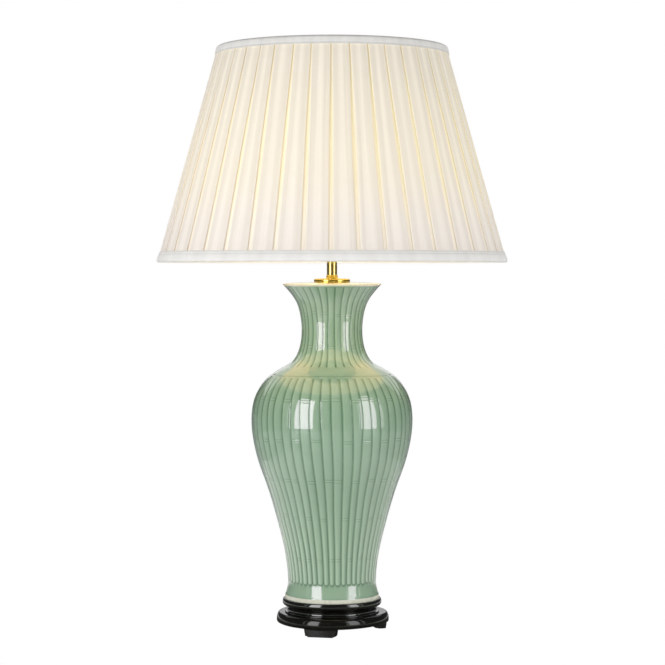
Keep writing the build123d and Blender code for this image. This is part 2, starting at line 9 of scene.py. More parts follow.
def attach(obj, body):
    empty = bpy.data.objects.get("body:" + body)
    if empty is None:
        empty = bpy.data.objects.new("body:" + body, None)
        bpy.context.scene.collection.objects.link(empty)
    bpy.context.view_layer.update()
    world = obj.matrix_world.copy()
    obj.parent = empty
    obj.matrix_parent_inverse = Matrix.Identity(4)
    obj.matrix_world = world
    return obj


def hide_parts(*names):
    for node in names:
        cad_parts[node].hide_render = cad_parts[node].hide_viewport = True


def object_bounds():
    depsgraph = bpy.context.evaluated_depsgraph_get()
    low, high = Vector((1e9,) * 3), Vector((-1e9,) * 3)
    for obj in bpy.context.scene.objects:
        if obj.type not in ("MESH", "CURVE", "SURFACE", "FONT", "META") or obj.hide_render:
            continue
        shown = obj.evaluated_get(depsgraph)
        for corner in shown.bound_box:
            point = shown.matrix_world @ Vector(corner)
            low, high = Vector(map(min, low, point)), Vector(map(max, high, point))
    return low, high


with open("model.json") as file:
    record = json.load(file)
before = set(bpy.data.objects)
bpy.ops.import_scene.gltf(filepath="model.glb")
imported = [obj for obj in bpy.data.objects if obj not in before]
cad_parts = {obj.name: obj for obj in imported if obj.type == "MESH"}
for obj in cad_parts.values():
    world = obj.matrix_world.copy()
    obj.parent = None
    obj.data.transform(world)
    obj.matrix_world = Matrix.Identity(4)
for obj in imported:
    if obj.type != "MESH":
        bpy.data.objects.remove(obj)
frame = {"nodes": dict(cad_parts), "record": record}
CAD_LO, CAD_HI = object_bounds()
NODES = frame["nodes"]
MM = 0.001
TAU = 2 * math.pi
DATUM = 3.0               # the heights written below are counted from 3 mm above the table


# =====================================================================
# helpers
# =====================================================================
def smooth(x, lo, hi):
    t = np.clip((x - lo) / (hi - lo), 0.0, 1.0)
    return t * t * (3 - 2 * t)


def bell(x, width):
    return np.exp(-((x / width) ** 2))


def spline_through(points, closed=False):
    """Natural cubic spline through (n, 2) points by chord length; returns f(s), total length."""
    p = np.asarray(points, float)
    d = np.linalg.norm(np.diff(p, axis=0), axis=1)
    t = np.concatenate([[0], np.cumsum(d)])
    n = len(p)
    a = np.zeros((n, n))
    r = np.zeros((n, 2))
    a[0, 0] = a[-1, -1] = 1
    for i in range(1, n - 1):
        h0, h1 = t[i] - t[i - 1], t[i + 1] - t[i]
        a[i, i - 1], a[i, i], a[i, i + 1] = h0, 2 * (h0 + h1), h1
        r[i] = 6 * ((p[i + 1] - p[i]) / h1 - (p[i] - p[i - 1]) / h0)
    m = np.linalg.solve(a, r)

    def f(s):
        s = np.atleast_1d(np.asarray(s, float))
        i = np.clip(np.searchsorted(t, s, side="right") - 1, 0, n - 2)
        h = (t[i + 1] - t[i])[:, None]
        u, v = (t[i + 1] - s)[:, None], (s - t[i])[:, None]
        return (
            m[i] * u**3 / (6 * h)
            + m[i + 1] * v**3 / (6 * h)
            + (p[i] / h - m[i] * h / 6) * u
            + (p[i + 1] / h - m[i + 1] * h / 6) * v
        )

    return f, t[-1]


def mesh_object(name, verts, quads, body, slot=None, mats=(), mat_index=None, attrs=None, uv=None, smooth_shade=True):
    """A mesh from numpy arrays (metres), riding on a CAD body."""
    me = bpy.data.meshes.new(name)
    verts = np.asarray(verts, np.float32) + np.array([0, 0, DATUM * MM], np.float32)
    quads = np.asarray(quads, np.int32)
    me.vertices.add(len(verts))
    me.vertices.foreach_set("co", verts.ravel())
    k = quads.shape[1]
    me.loops.add(quads.size)
    me.loops.foreach_set("vertex_index", quads.ravel())
    me.polygons.add(len(quads))
    me.polygons.foreach_set("loop_start", np.arange(0, quads.size, k, dtype=np.int32))
    me.polygons.foreach_set("loop_total", np.full(len(quads), k, np.int32))
    me.update(calc_edges=True)
    me.validate()
    me.polygons.foreach_set("use_smooth", np.full(len(me.polygons), smooth_shade, bool))
    for m in mats:
        me.materials.append(m)
    if mat_index is not None:
        me.polygons.foreach_set("material_index", np.asarray(mat_index, np.int32))
    for key, val in (attrs or {}).items():
        at = me.attributes.new(key, "FLOAT", "POINT")
        at.data.foreach_set("value", np.asarray(val, np.float32).ravel())
    if uv is not None:
        layer = me.uv_layers.new(name="OFBake")
        layer.data.foreach_set("uv", np.asarray(uv, np.float32).ravel())
    me.update()
    ob = bpy.data.objects.new(name, me)
    bpy.context.scene.collection.objects.link(ob)
    if body:
        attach(ob, body)
    return ob


def grid_quads(rows, cols, wrap_u=True, wrap_v=False):
    r = np.arange(rows if wrap_v else rows - 1)
    c = np.arange(cols if wrap_u else cols - 1)
    rr, cc = np.meshgrid(r, c, indexing="ij")
    r1, c1 = (rr + 1) % rows, (cc + 1) % cols
    q = np.stack([rr * cols + cc, rr * cols + c1, r1 * cols + c1, r1 * cols + cc], -1)
    return q.reshape(-1, 4)


def ring_uv(quads, rows, cols, v_of_row, pad=0.002):
    """One chart: u round the axis, v up the rows."""
    col = quads % cols
    row = quads // cols
    u = col.astype(float)
    wraps = (col.max(1) - col.min(1) > 1)[:, None] & (col == 0)
    u = np.where(wraps, cols, u) / cols
    v = np.asarray(v_of_row)[row]
    return np.stack([pad + u * (1 - 2 * pad), pad + v * (1 - 2 * pad)], -1)


def lathe(name, profile, body, slot, mat, segments=160, closed=True, **kw):
    """Revolves a closed (r, z) profile in mm, given anticlockwise seen with r to the right and z up."""
    p = np.asarray(profile, float) * MM
    phi = np.arange(segments) / segments * TAU
    x = p[:, 0][:, None] * np.cos(phi)[None]
    y = p[:, 0][:, None] * np.sin(phi)[None]
    z = np.repeat(p[:, 1][:, None], segments, 1)
    v = np.stack([x, y, z], -1).reshape(-1, 3)
    q = grid_quads(len(p), segments, True, closed)
    return mesh_object(name, v, q, body, slot, [mat], **kw)


def soften(points, radius, steps=4):
    """Rounds every corner of a closed polyline by a small arc."""
    p = np.asarray(points, float)
    out = []
    n = len(p)
    for i in range(n):
        a, b, c = p[i - 1], p[i], p[(i + 1) % n]
        u, w = a - b, c - b
        lu, lw = np.linalg.norm(u), np.linalg.norm(w)
        k = min(radius, 0.45 * lu, 0.45 * lw)
        s, e = b + u / lu * k, b + w / lw * k
        for j in range(steps + 1):
            t = j / steps
            out.append((1 - t) ** 2 * s + 2 * t * (1 - t) * b + t * t * e)
    return np.array(out)


# =====================================================================
# materials
# =====================================================================
class Mat:
    """A small node tree builder."""

    def __init__(self, name, **bsdf):
        self.m = bpy.data.materials.new(name)
        self.m.use_nodes = True
        self.t = self.m.node_tree
        self.t.nodes.clear()
        self.out = self.t.nodes.new("ShaderNodeOutputMaterial")
        self.b = self.t.nodes.new("ShaderNodeBsdfPrincipled")
        self.t.links.new(self.b.outputs[0], self.out.inputs[0])
        for k, v in bsdf.items():
            self.b.inputs[k.replace("_", " ")].default_value = v
        self._co = None

    def node(self, kind, **kw):
        n = self.t.nodes.new("ShaderNode" + kind)
        for k, v in kw.items():
            if k == "inputs":
                for a, b in v.items():
                    if isinstance(b, bpy.types.NodeSocket):
                        self.t.links.new(b, n.inputs[a])
                    else:
                        n.inputs[a].default_value = b
            else:
                setattr(n, k, v)
        return n

    def co(self):
        if self._co is None:
            self._co = self.node("TexCoord").outputs["Object"]
        return self._co

    def attr(self, name):
        return self.node("Attribute", attribute_name=name).outputs["Fac"]

    def noise(self, scale, detail=2.0, rough=0.5, co=None, dist=0.0):
        n = self.node("TexNoise", inputs={"Vector": co or self.co(), "Scale": scale, "Detail": detail, "Roughness": rough, "Distortion": dist})
        return n.outputs["Fac"]

    def math(self, op, a, b=None, c=None, clamp=False):
        ins = {0: a}
        if b is not None:
            ins[1] = b
        if c is not None:
            ins[2] = c
        return self.node("Math", operation=op, use_clamp=clamp, inputs=ins).outputs[0]

    def ramp(self, fac, stops, interp="LINEAR"):
        n = self.node("ValToRGB", inputs={"Fac": fac})
        cr = n.color_ramp
        cr.interpolation = interp
        while len(cr.elements) > 1:
            cr.elements.remove(cr.elements[-1])
        cr.elements[0].position, cr.elements[0].color = stops[0][0], (*stops[0][1], 1)
        for pos, col in stops[1:]:
            e = cr.elements.new(pos)
            e.color = (*col, 1)
        return n.outputs["Color"]

    def mix(self, fac, a, b, mode="MIX"):
        n = self.node("Mix", data_type="RGBA", blend_type=mode)
        for idx, v in ((0, fac), (6, a), (7, b)):
            if isinstance(v, bpy.types.NodeSocket):
                self.t.links.new(v, n.inputs[idx])
            else:
                n.inputs[idx].default_value = v if idx == 0 else (*v, 1)
        return n.outputs[2]

    def range(self, v, a, b, c, d, kind="LINEAR"):
        return self.node("MapRange", interpolation_type=kind, inputs={0: v, 1: a, 2: b, 3: c, 4: d}).outputs[0]

    def bump(self, height, strength, distance, normal=None):
        ins = {"Height": height, "Strength": strength, "Distance": distance}
        if normal is not None:
            ins["Normal"] = normal
        return self.node("Bump", inputs=ins).outputs[0]

    def set(self, **kw):
        for k, v in kw.items():
            s = self.b.inputs[k.replace("_", " ")]
            if isinstance(v, bpy.types.NodeSocket):
                self.t.links.new(v, s)
            else:
                s.default_value = v
        return self


def lin(r, g, b):
    """sRGB 0-255 to linear."""
    def f(c):
        c /= 255
        return c / 12.92 if c <= 0.04045 else ((c + 0.055) / 1.055) ** 2.4
    return (f(r), f(g), f(b))


def celadon():
    m = Mat("celadon_glaze", Roughness=0.10, Specular_IOR_Level=0.5, IOR=1.52, Coat_Weight=0.9, Coat_Roughness=0.02, Coat_IOR=1.5)
    g = m.attr("glaze")
    big = m.noise(9, 3, 0.55)
    fine = m.noise(140, 2, 0.5)
    shifted = m.math("ADD", g, m.math("MULTIPLY", m.math("SUBTRACT", big, 0.5), 0.22))
    shifted = m.math("ADD", shifted, m.math("MULTIPLY", m.math("SUBTRACT", fine, 0.5), 0.05))
    fac = m.range(shifted, -1.0, 1.5, 0.0, 1.0)
    col = m.ramp(fac, [
        (0.00, lin(176, 202, 174)),
        (0.22, lin(159, 186, 158)),
        (0.40, lin(139, 167, 142)),
        (0.62, lin(112, 143, 115)),
        (0.85, lin(84, 115, 87)),
        (1.00, lin(66, 95, 70)),
    ])
    # tiny dark specks in the glaze
    speck = m.node("TexVoronoi", inputs={"Vector": m.co(), "Scale": 420.0}).outputs["Distance"]
    speck = m.range(speck, 0.02, 0.07, 0.35, 0.0)
    keep = m.range(m.noise(60, 1), 0.56, 0.62, 0.0, 1.0)
    col = m.mix(m.math("MULTIPLY", speck, keep), col, lin(92, 116, 88))
    lip = m.attr("lip")
    foot = m.node("SeparateXYZ", inputs={0: m.co()}).outputs["Z"]
    cream = m.mix(m.range(foot, 0.1, 0.3, 0.0, 1.0), lin(207, 211, 192), lin(236, 231, 204))
    col = m.mix(m.range(m.math("ADD", lip, m.math("MULTIPLY", m.math("SUBTRACT", m.noise(220, 2), 0.5), 0.25)), 0.25, 0.75, 0.0, 1.0), col, cream)
    peel = m.noise(260, 1, 0.4)
    m.set(Base_Color=col, Normal=m.bump(peel, 0.05, 0.0006))
    return m.m


def biscuit():
    m = Mat("unglazed_foot", Specular_IOR_Level=0.3)
    n = m.noise(300, 4, 0.6)
    col = m.ramp(n, [(0.3, lin(203, 204, 186)), (0.6, lin(216, 217, 201)), (0.8, lin(226, 226, 212))])
    m.set(Base_Color=col, Roughness=m.range(n, 0.3, 0.7, 0.55, 0.75), Normal=m.bump(n, 0.25, 0.0004))
    return m.m


def brass(name="polished_brass", base=(0.67, 0.55, 0.12), rough=0.15, brushed=False):
    m = Mat(name, Metallic=0.93 if brushed else 0.88, Specular_IOR_Level=0.5)
    co = m.co()
    if brushed:
        st = m.node("Mapping", inputs={"Vector": co, "Scale": (6.0, 6.0, 900.0)}).outputs[0]
        n = m.noise(3.0, 3, 0.6, co=st)
    else:
        n = m.noise(90, 4, 0.6)
    smudge = m.noise(28, 3, 0.6)
    col = m.mix(m.range(smudge, 0.35, 0.75, 0.0, 0.35), base, tuple(c * 0.82 for c in base))
    r = m.math("ADD", m.range(smudge, 0.3, 0.75, rough * 0.7, rough * 1.6), m.math("MULTIPLY", m.math("SUBTRACT", n, 0.5), 0.06))
    m.set(Base_Color=col, Roughness=r, Normal=m.bump(n, 0.03, 0.0002))
    return m.m


def lacquer(carved=False, top=False, plate=False):
    name = "black_lacquer_carved" if carved else "black_lacquer_top" if top else "black_lacquer_plate" if plate else "black_lacquer"
    m = Mat(name, Specular_IOR_Level=0.5 if carved or top else 0.45 if plate else 1.0)
    m.b.inputs["Specular Tint"].default_value = (0.86, 1.0, 0.86, 1)
    co = m.co()
    grain = m.node("Mapping", inputs={"Vector": co, "Scale": (40.0, 260.0, 260.0)}).outputs[0]
    g = m.noise(1.6, 4, 0.6, co=grain)
    dust = m.noise(520, 2, 0.5)
    col = m.mix(m.range(g, 0.45, 0.8, 0.0, 1.0), (0.0042, 0.0038, 0.0036), (0.014, 0.011, 0.009))
    if carved:
        r = m.range(g, 0.3, 0.7, 0.35, 0.55)
    else:
        r = m.range(m.noise(35, 3), 0.3, 0.7, 0.10 if top else 0.08, 0.16 if top else 0.12)
    n = m.bump(g, 0.12 if carved else 0.035, 0.0004)
    n = m.bump(dust, 0.03, 0.0002, n)
    if carved:
        col = m.mix(1.0, col, (1.9, 1.9, 2.0), "MULTIPLY")
    m.set(Base_Color=col, Roughness=r, Normal=n)
    return m.m


def silk_cover():
    """Pleated silk with painted backlight: pale and glowing where one layer shows, greyer where the folds lie three
    deep as painted shade, golden painted glow in the gaps.
    """
    m = Mat("pleated_silk", Specular_IOR_Level=0.25, Sheen_Weight=0.28, Sheen_Roughness=0.45, Roughness=0.62)
    m.b.inputs["Sheen Tint"].default_value = (1.0, 0.97, 0.92, 1)
    deep, gap = m.attr("deep"), m.attr("gap")
    glow, low, line = m.attr("glow"), m.attr("low"), m.attr("line")
    slub = m.node("Mapping", inputs={"Vector": m.co(), "Scale": (700.0, 700.0, 55.0)}).outputs[0]
    s = m.noise(1.0, 3, 0.6, co=slub)
    mot = m.noise(26, 3, 0.55)
    # painted shade: the three-deep folds are greyer, as less of the bulb's light comes through them
    col = m.mix(deep, lin(222, 216, 204), lin(212, 205, 192))
    # painted glow: the gaps are golden, more so on one side of the shade
    painted_gap_glow = m.attr("painted_gap_glow")
    col = m.mix(gap, col, m.mix(low, m.mix(painted_gap_glow, lin(226, 219, 201), lin(230, 220, 186)), lin(227, 219, 204)))
    col = m.mix(m.range(s, 0.35, 0.7, 0.0, 0.10), col, lin(192, 182, 164))
    col = m.mix(m.range(mot, 0.4, 0.75, 0.0, 0.12), col, lin(216, 202, 192))
    # painted light: the emission stands in for the bulb's light shining through the silk, turning neutral towards the
    # hem and scaled by the painted glow for each height
    em = m.mix(low, (0.250, 0.215, 0.155), (0.235, 0.210, 0.215))
    em = m.mix(gap, em, m.mix(low, m.mix(painted_gap_glow, (0.285, 0.250, 0.178), (0.300, 0.262, 0.140)), (0.320, 0.290, 0.245)))
    em = m.mix(1.0, em, m.ramp(m.math("MULTIPLY", glow, 0.5), [(0.0, (0, 0, 0)), (1.0, (2, 2, 2))]), "MULTIPLY")
    # painted shadow: a fold's edge darkens the gap beside it, along the line mask
    shadow = m.mix(low, (0.965, 0.93, 0.86), (0.88, 0.855, 0.80))
    col = m.mix(line, col, m.mix(1.0, col, shadow, "MULTIPLY"))
    em = m.mix(line, em, m.mix(1.0, em, shadow, "MULTIPLY"))
    # crossed threads of the weave, for close views
    wz = m.node("TexWave", wave_type="BANDS", bands_direction="Z", inputs={"Vector": m.co(), "Scale": 620.0, "Distortion": 1.2, "Detail": 1.0, "Detail Scale": 2.0}).outputs["Fac"]
    n = m.bump(s, 0.25, 0.00025)
    n = m.bump(wz, 0.12, 0.00015, n)
    m.set(Base_Color=col, Emission_Color=em, Emission_Strength=1.0, Normal=n)
    return m.m


def silk_lining():
    m = Mat("lining_silk", Specular_IOR_Level=0.2, Roughness=0.7)
    slub = m.node("Mapping", inputs={"Vector": m.co(), "Scale": (900.0, 900.0, 120.0)}).outputs[0]
    s = m.noise(1.0, 3, 0.6, co=slub)
    mot = m.noise(14, 3, 0.55)
    col = m.mix(m.range(s, 0.35, 0.7, 0.0, 0.18), lin(250, 240, 218), lin(228, 212, 182))
    col = m.mix(m.attr("seam"), col, lin(222, 205, 172))
    # painted light: the lining glows as if lit by the bulb behind it
    em = m.mix(m.range(mot, 0.3, 0.7, 0.0, 0.3), lin(255, 219, 172), lin(255, 208, 156))
    m.set(Base_Color=col, Emission_Color=em, Emission_Strength=0.55, Normal=m.bump(s, 0.2, 0.0003))
    return m.m


def binding():
    m = Mat("trim_binding", Specular_IOR_Level=0.25, Sheen_Weight=0.15, Sheen_Roughness=0.5, Roughness=0.7)
    # a diagonal twill
    tw = m.node("Mapping", inputs={"Vector": m.co(), "Rotation": (0.0, 0.6, 0.0)}).outputs[0]
    w = m.node("TexWave", wave_type="BANDS", bands_direction="DIAGONAL", inputs={"Vector": tw, "Scale": 330.0, "Distortion": 1.0, "Detail": 2.0, "Detail Scale": 1.5}).outputs["Fac"]
    mot = m.noise(60, 3, 0.6)
    col = m.mix(m.range(mot, 0.35, 0.75, 0.0, 0.25), lin(240, 240, 238), lin(222, 223, 222))
    col = m.mix(m.range(w, 0.0, 0.5, 0.12, 0.0), col, lin(190, 190, 188))
    # painted shade: the roll at the edge and the sewn line are darkened; painted light: the inside glows as if lit by
    # the bulb, and the outside a little too
    col = m.mix(m.attr("dark"), col, (0.0, 0.0, 0.0))
    em = m.mix(m.attr("inner"), (0.085, 0.074, 0.058), (0.50, 0.42, 0.30))
    n = m.bump(w, 0.22, 0.0003)
    n = m.bump(mot, 0.12, 0.0006, n)
    m.set(Base_Color=col, Normal=n, Emission_Color=em, Emission_Strength=1.0)
    return m.m


def thread():
    m = Mat("stitch_thread", Specular_IOR_Level=0.3, Sheen_Weight=0.1)
    w = m.noise(2600, 2)
    m.set(Base_Color=m.mix(w, lin(247, 246, 242), lin(226, 224, 218)), Roughness=m.range(w, 0.3, 0.7, 0.55, 0.7))
    return m.m


def plain_metal(name, base, rough, scale=180.0):
    m = Mat(name, Metallic=1.0)
    n = m.noise(scale, 4, 0.6)
    col = m.mix(m.range(n, 0.3, 0.75, 0.0, 0.4), base, tuple(c * 0.78 for c in base))
    m.set(Base_Color=col, Roughness=m.range(n, 0.25, 0.75, rough * 0.75, rough * 1.35), Normal=m.bump(n, 0.05, 0.0002))
    return m.m


def plain_solid(name, base, rough, scale=160.0, var=0.25, bump=0.05, spec=0.5):
    m = Mat(name, Specular_IOR_Level=spec)
    n = m.noise(scale, 4, 0.6)
    col = m.mix(m.range(n, 0.3, 0.75, 0.0, 1.0), base, tuple(c * (1 - var) for c in base))
    m.set(Base_Color=col, Roughness=m.range(n, 0.25, 0.75, rough * 0.85, min(1.0, rough * 1.15)), Normal=m.bump(n, bump, 0.0003))
    return m.m


def felt():
    m = Mat("felt", Specular_IOR_Level=0.1, Roughness=0.95, Sheen_Weight=0.25, Sheen_Roughness=0.6)
    n = m.noise(900, 5, 0.7)
    m.set(Base_Color=m.mix(n, (0.012, 0.016, 0.013), (0.035, 0.042, 0.036)), Normal=m.bump(n, 0.5, 0.0006))
    return m.m


def opal_glass():
    """The lit globe: frosted, glowing more at its middle than at its neck."""
    m = Mat("opal_glass", Specular_IOR_Level=0.5, Roughness=0.28, Coat_Weight=0.3, Coat_Roughness=0.08)
    z = m.node("SeparateXYZ", inputs={0: m.co()}).outputs["Z"]
    e = m.range(z, 0.559, 0.595, 0.15, 1.0, "SMOOTHSTEP")
    grain = m.noise(700, 3, 0.6)
    em = m.mix(1.0, m.ramp(e, [(0.0, lin(255, 190, 110)), (1.0, lin(255, 222, 158))]), m.ramp(e, [(0.0, (0, 0, 0)), (1.0, (1, 1, 1))]), "MULTIPLY")
    m.set(Base_Color=m.mix(grain, (0.86, 0.84, 0.80), (0.80, 0.78, 0.74)), Emission_Color=em, Emission_Strength=1.0, Normal=m.bump(grain, 0.06, 0.0002))
    return m.m


MAT = {
    "celadon": celadon(),
    "biscuit": biscuit(),
    "brass": brass(),
    "brass_stem": brass("brass_stem", base=(0.62, 0.50, 0.15), rough=0.09, brushed=True),
    "lacquer": lacquer(),
    "lacquer_top": lacquer(top=True),
    "lacquer_plate": lacquer(plate=True),
    "lacquer_carved": lacquer(True),
    "cover": silk_cover(),
    "lining": silk_lining(),
    "binding": binding(),
    "thread": thread(),
    "zinc": plain_metal("zinc_steel", (0.62, 0.62, 0.60), 0.35),
    "nickel": plain_metal("socket_nickel", (0.70, 0.67, 0.61), 0.28),
    "aluminium": plain_metal("bulb_aluminium", (0.78, 0.78, 0.79), 0.30),
    "solder": plain_metal("solder", (0.55, 0.55, 0.56), 0.45, 400),
    "terminal": plain_metal("terminal_brass", (0.78, 0.60, 0.32), 0.35),
    "porcelain": plain_solid("porcelain", (0.80, 0.79, 0.75), 0.18, 60, 0.06, 0.02),
    "phenolic": plain_solid("phenolic", (0.022, 0.019, 0.017), 0.28, 90, 0.35, 0.04),
    "vitrite": plain_solid("bulb_insulator", (0.012, 0.012, 0.016), 0.12, 120, 0.3, 0.02),
    "rubber": plain_solid("black_rubber", (0.024, 0.024, 0.024), 0.72, 300, 0.3, 0.12, 0.3),
    "wire": plain_solid("shade_wire", (0.74, 0.71, 0.65), 0.38, 220, 0.12, 0.08),
    "felt": felt(),
    "opal": opal_glass(),
}
SLOT_MAT = {
    "black_lacquer": "lacquer", "zinc_steel": "zinc", "black_rubber": "rubber", "celadon_glaze": "celadon",
    "polished_brass": "brass", "phenolic": "phenolic", "terminal_brass": "terminal", "porcelain": "porcelain",
    "socket_nickel": "nickel", "opal_glass": "opal", "bulb_aluminium": "aluminium", "bulb_insulator": "vitrite",
    "solder": "solder", "shade_wire": "wire", "pleated_silk": "cover", "lining_silk": "lining",
    "trim_binding": "binding", "felt": "felt",
}
for sub in frame["record"]["subparts"]:
    ob = NODES[sub["node"]]
    ob.data.materials.clear()
    ob.data.materials.append(MAT[SLOT_MAT[sub["material_slot"]]])

# =====================================================================
# vase: glazed baluster carved with bamboo fluting
# =====================================================================
VASE_SIDE = [
    (61.6, 39.6), (61.3, 43.5), (60.2, 48.5), (58.6, 55.0), (57.7, 62.0), (57.8, 69.0), (58.8, 80.0), (61.1, 96.0),
    (64.9, 114.5), (70.9, 138.0), (78.4, 165.0), (87.4, 192.5), (94.5, 212.0), (100.2, 232.0), (103.7, 250.0),
    (105.4, 268.0), (104.8, 284.0), (101.6, 299.5), (95.0, 313.5), (85.0, 326.5), (74.0, 335.0), (62.5, 341.6),
    (52.5, 348.2), (45.8, 357.5), (41.8, 369.0), (39.8, 383.5), (39.9, 396.5), (41.8, 410.5), (46.0, 424.5),
    (53.0, 435.8), (62.6, 447.0),
]
BODY_FLUTES, NECK_FLUTES = 49, 34
BODY_ROWS = [(303.5, 0), (251.0, 1), (198.5, 0), (148.5, 1), (95.0, 0)]   # height, which ribs
NECK_ROWS = [(411.0, 0), (369.0, 1)]
BODY_TOP, BODY_END, NECK_END, NECK_TOP = 330.0, 62.5, 343.0, 445.2
LINE_Z = 331.8


def build_vase():
    rng = np.random.default_rng(7)
    f, total = spline_through(VASE_SIDE)
    fine_s = np.linspace(0, total, 6000)
    fine = f(fine_s)
    arc = np.concatenate([[0], np.cumsum(np.linalg.norm(np.diff(fine, axis=0), axis=1))])
    zs = fine[:, 1]
    # row spacing: fine where something is incised
    dense = np.zeros_like(zs)
    for z0, _ in BODY_ROWS + NECK_ROWS:
        dense = np.maximum(dense, bell(zs - z0, 5.0))
    for z0, w in ((BODY_TOP - 1, 4.0), (BODY_END + 2, 6.5), (NECK_END + 1, 5.0), (LINE_Z, 3.0), (NECK_TOP, 4.0), (43.5, 3.0)):
        dense = np.maximum(dense, bell(zs - z0, w))
    step = 1.75 - 1.15 * np.clip(dense * 1.6, 0, 1)
    need = np.concatenate([[0], np.cumsum(np.diff(arc) / step[1:])])
    rows = int(need[-1])
    pick = np.interp(np.linspace(0, need[-1], rows), need, np.arange(len(arc)))
    i0 = np.clip(pick.astype(int), 0, len(arc) - 2)
    w = (pick - i0)[:, None]
    prof = fine[i0] * (1 - w) + fine[i0 + 1] * w          # (rows, 2)
    tang = fine[i0 + 1] - fine[i0]
    tang /= np.linalg.norm(tang, axis=1)[:, None]
    cols = BODY_FLUTES * 18
    phi = np.arange(cols) / cols * 360.0 - 180.0           # degrees from the front (-Y), + to the right
    r, z = prof[:, 0][:, None], prof[:, 1][:, None]
    ph = np.repeat(phi[None], rows, 0)

    def fluting(count, phase, lean, z_mid, jitter, seed):
        """Signed distance in mm from the nearest groove (+ to its right) and the rib's index."""
        g = np.random.default_rng(seed)
        pitch = 360.0 / count
        jit = g.normal(0, jitter, count)
        amp = g.normal(0, 0.30, (count, 2))
        ph2 = g.uniform(0, TAU, (count, 2))
        best = np.full((rows, cols), 1e9)
        left = np.zeros((rows, cols))
        idx = np.zeros((rows, cols), int)
        # where the grooves run at each height
        gz = z[:, 0]
        lines = np.empty((rows, count))
        for k in range(count):
            wob = amp[k, 0] * np.sin(gz / 46.0 + ph2[k, 0]) + amp[k, 1] * 0.5 * np.sin(gz / 17.0 + ph2[k, 1])
            lines[:, k] = phase + k * pitch + jit[k] + lean * (z_mid - gz) + wob
        # all lines taken to -180..180 and ordered
        ln = (lines + 180.0) % 360.0 - 180.0
        order = np.argsort(ln, axis=1)
        srt = np.take_along_axis(ln, order, 1)
        ext = np.concatenate([srt[:, -1:] - 360, srt, srt[:, :1] + 360], 1)
        ids = np.concatenate([order[:, -1:], order, order[:, :1]], 1)
        for i in range(rows):
            j = np.searchsorted(ext[i], phi, side="right") - 1
            lo, hi = ext[i][j], ext[i][j + 1]
            d0, d1 = phi - lo, hi - phi
            left[i] = d0
            best[i] = np.where(d0 <= d1, d0, -d1)
            idx[i] = ids[i][j]
            # keep the rib's own width in degrees
            width[i] = hi - lo
        return best * math.pi / 180 * r, (left / width - 0.5), idx, width * math.pi / 180 * r

    width = np.zeros((rows, cols))
    s_b, u_b, k_b, w_b = fluting(BODY_FLUTES, -0.5, 5.5 / 261.0, 272.0, 0.30, 11)
    w_b = w_b.copy()
    width = np.zeros((rows, cols))
    s_n, u_n, k_n, w_n = fluting(NECK_FLUTES, 4.9, 1.0 / 100.0, 352.0, 0.35, 12)

    def carve(s, u, wmm, depth, left_w, right_w):
        """Depth of a knife-cut groove: steep on its right side, slow on its left."""
        prof_l = np.exp(-np.abs(s / left_w) ** 1.7)
        prof_r = np.exp(-np.abs(s / right_w) ** 2.0)
        cut = np.where(s < 0, prof_l, prof_r)
        return depth * cut

    low = smooth(-z, -175.0, -95.0)                       # towards the foot the ribs close up
    depth_b = 0.24 + 0.16 * low
    cut_b = carve(s_b, u_b, w_b, depth_b, 0.72 + 0.2 * low, 0.55)
    # tone: + pooled and dark, - thin and pale
    line_b = np.where(s_b < 0, np.exp(-np.abs(s_b / (1.40 + 0.35 * low)) ** 1.4), np.exp(-np.abs(s_b / (1.10 + 0.15 * low)) ** 1.9))
    slow_b = np.where(s_b < 0, np.exp(-np.abs(s_b / (3.4 - 1.4 * low)) ** 1.4), 0)
    pale_b = np.exp(-((s_b - (2.0 + 0.1 * low)) / 1.15) ** 2)
    tone_b = (0.95 + 0.25 * low) * line_b + 0.34 * slow_b - (0.20 + 0.22 * low) * pale_b
    tone_b += -0.12 - 0.28 * low
    # how far each rib runs: rounded ends
    rag = np.random.default_rng(5).normal(0, 0.5, BODY_FLUTES)
    top_b = BODY_TOP + 0.4 * rag[k_b] - 1.5 * np.abs(2 * u_b) ** 2.6
    end_b = BODY_END + 0.6 * rag[(k_b + 7) % BODY_FLUTES] + 3.4 * np.abs(2 * u_b) ** 2.8
    in_b = smooth(z, end_b - 0.5, end_b + 0.5) * (1 - smooth(z, top_b - 0.5, top_b + 0.5))
    # the band below is a little lower than the ribs
    band_low = (1 - smooth(z, end_b - 0.6, end_b + 0.8)) * smooth(z, 44.0, 47.0)
    band_up = smooth(z, top_b - 0.6, top_b + 0.6) * (1 - smooth(z, NECK_END - 4, NECK_END))
    d = -cut_b * in_b - 0.55 * band_low
    d -= (0.05 + 0.10 * low) * in_b * np.clip(np.abs(2 * u_b), 0, 1) ** 2
    tone = tone_b * in_b
    # glaze pooled under the ribs' feet and over their tops
    tone += 0.75 * np.exp(-np.abs((z - end_b + 0.6) / 1.6) ** 2) * (z < end_b + 0.6) + 0.35 * np.exp(-np.clip(end_b - z, 0, None) / 3.2) * (z < end_b)
    tone += 0.30 * np.exp(-((z - top_b - 0.5) / 0.9) ** 2)
    tone = tone - 0.22 * band_low

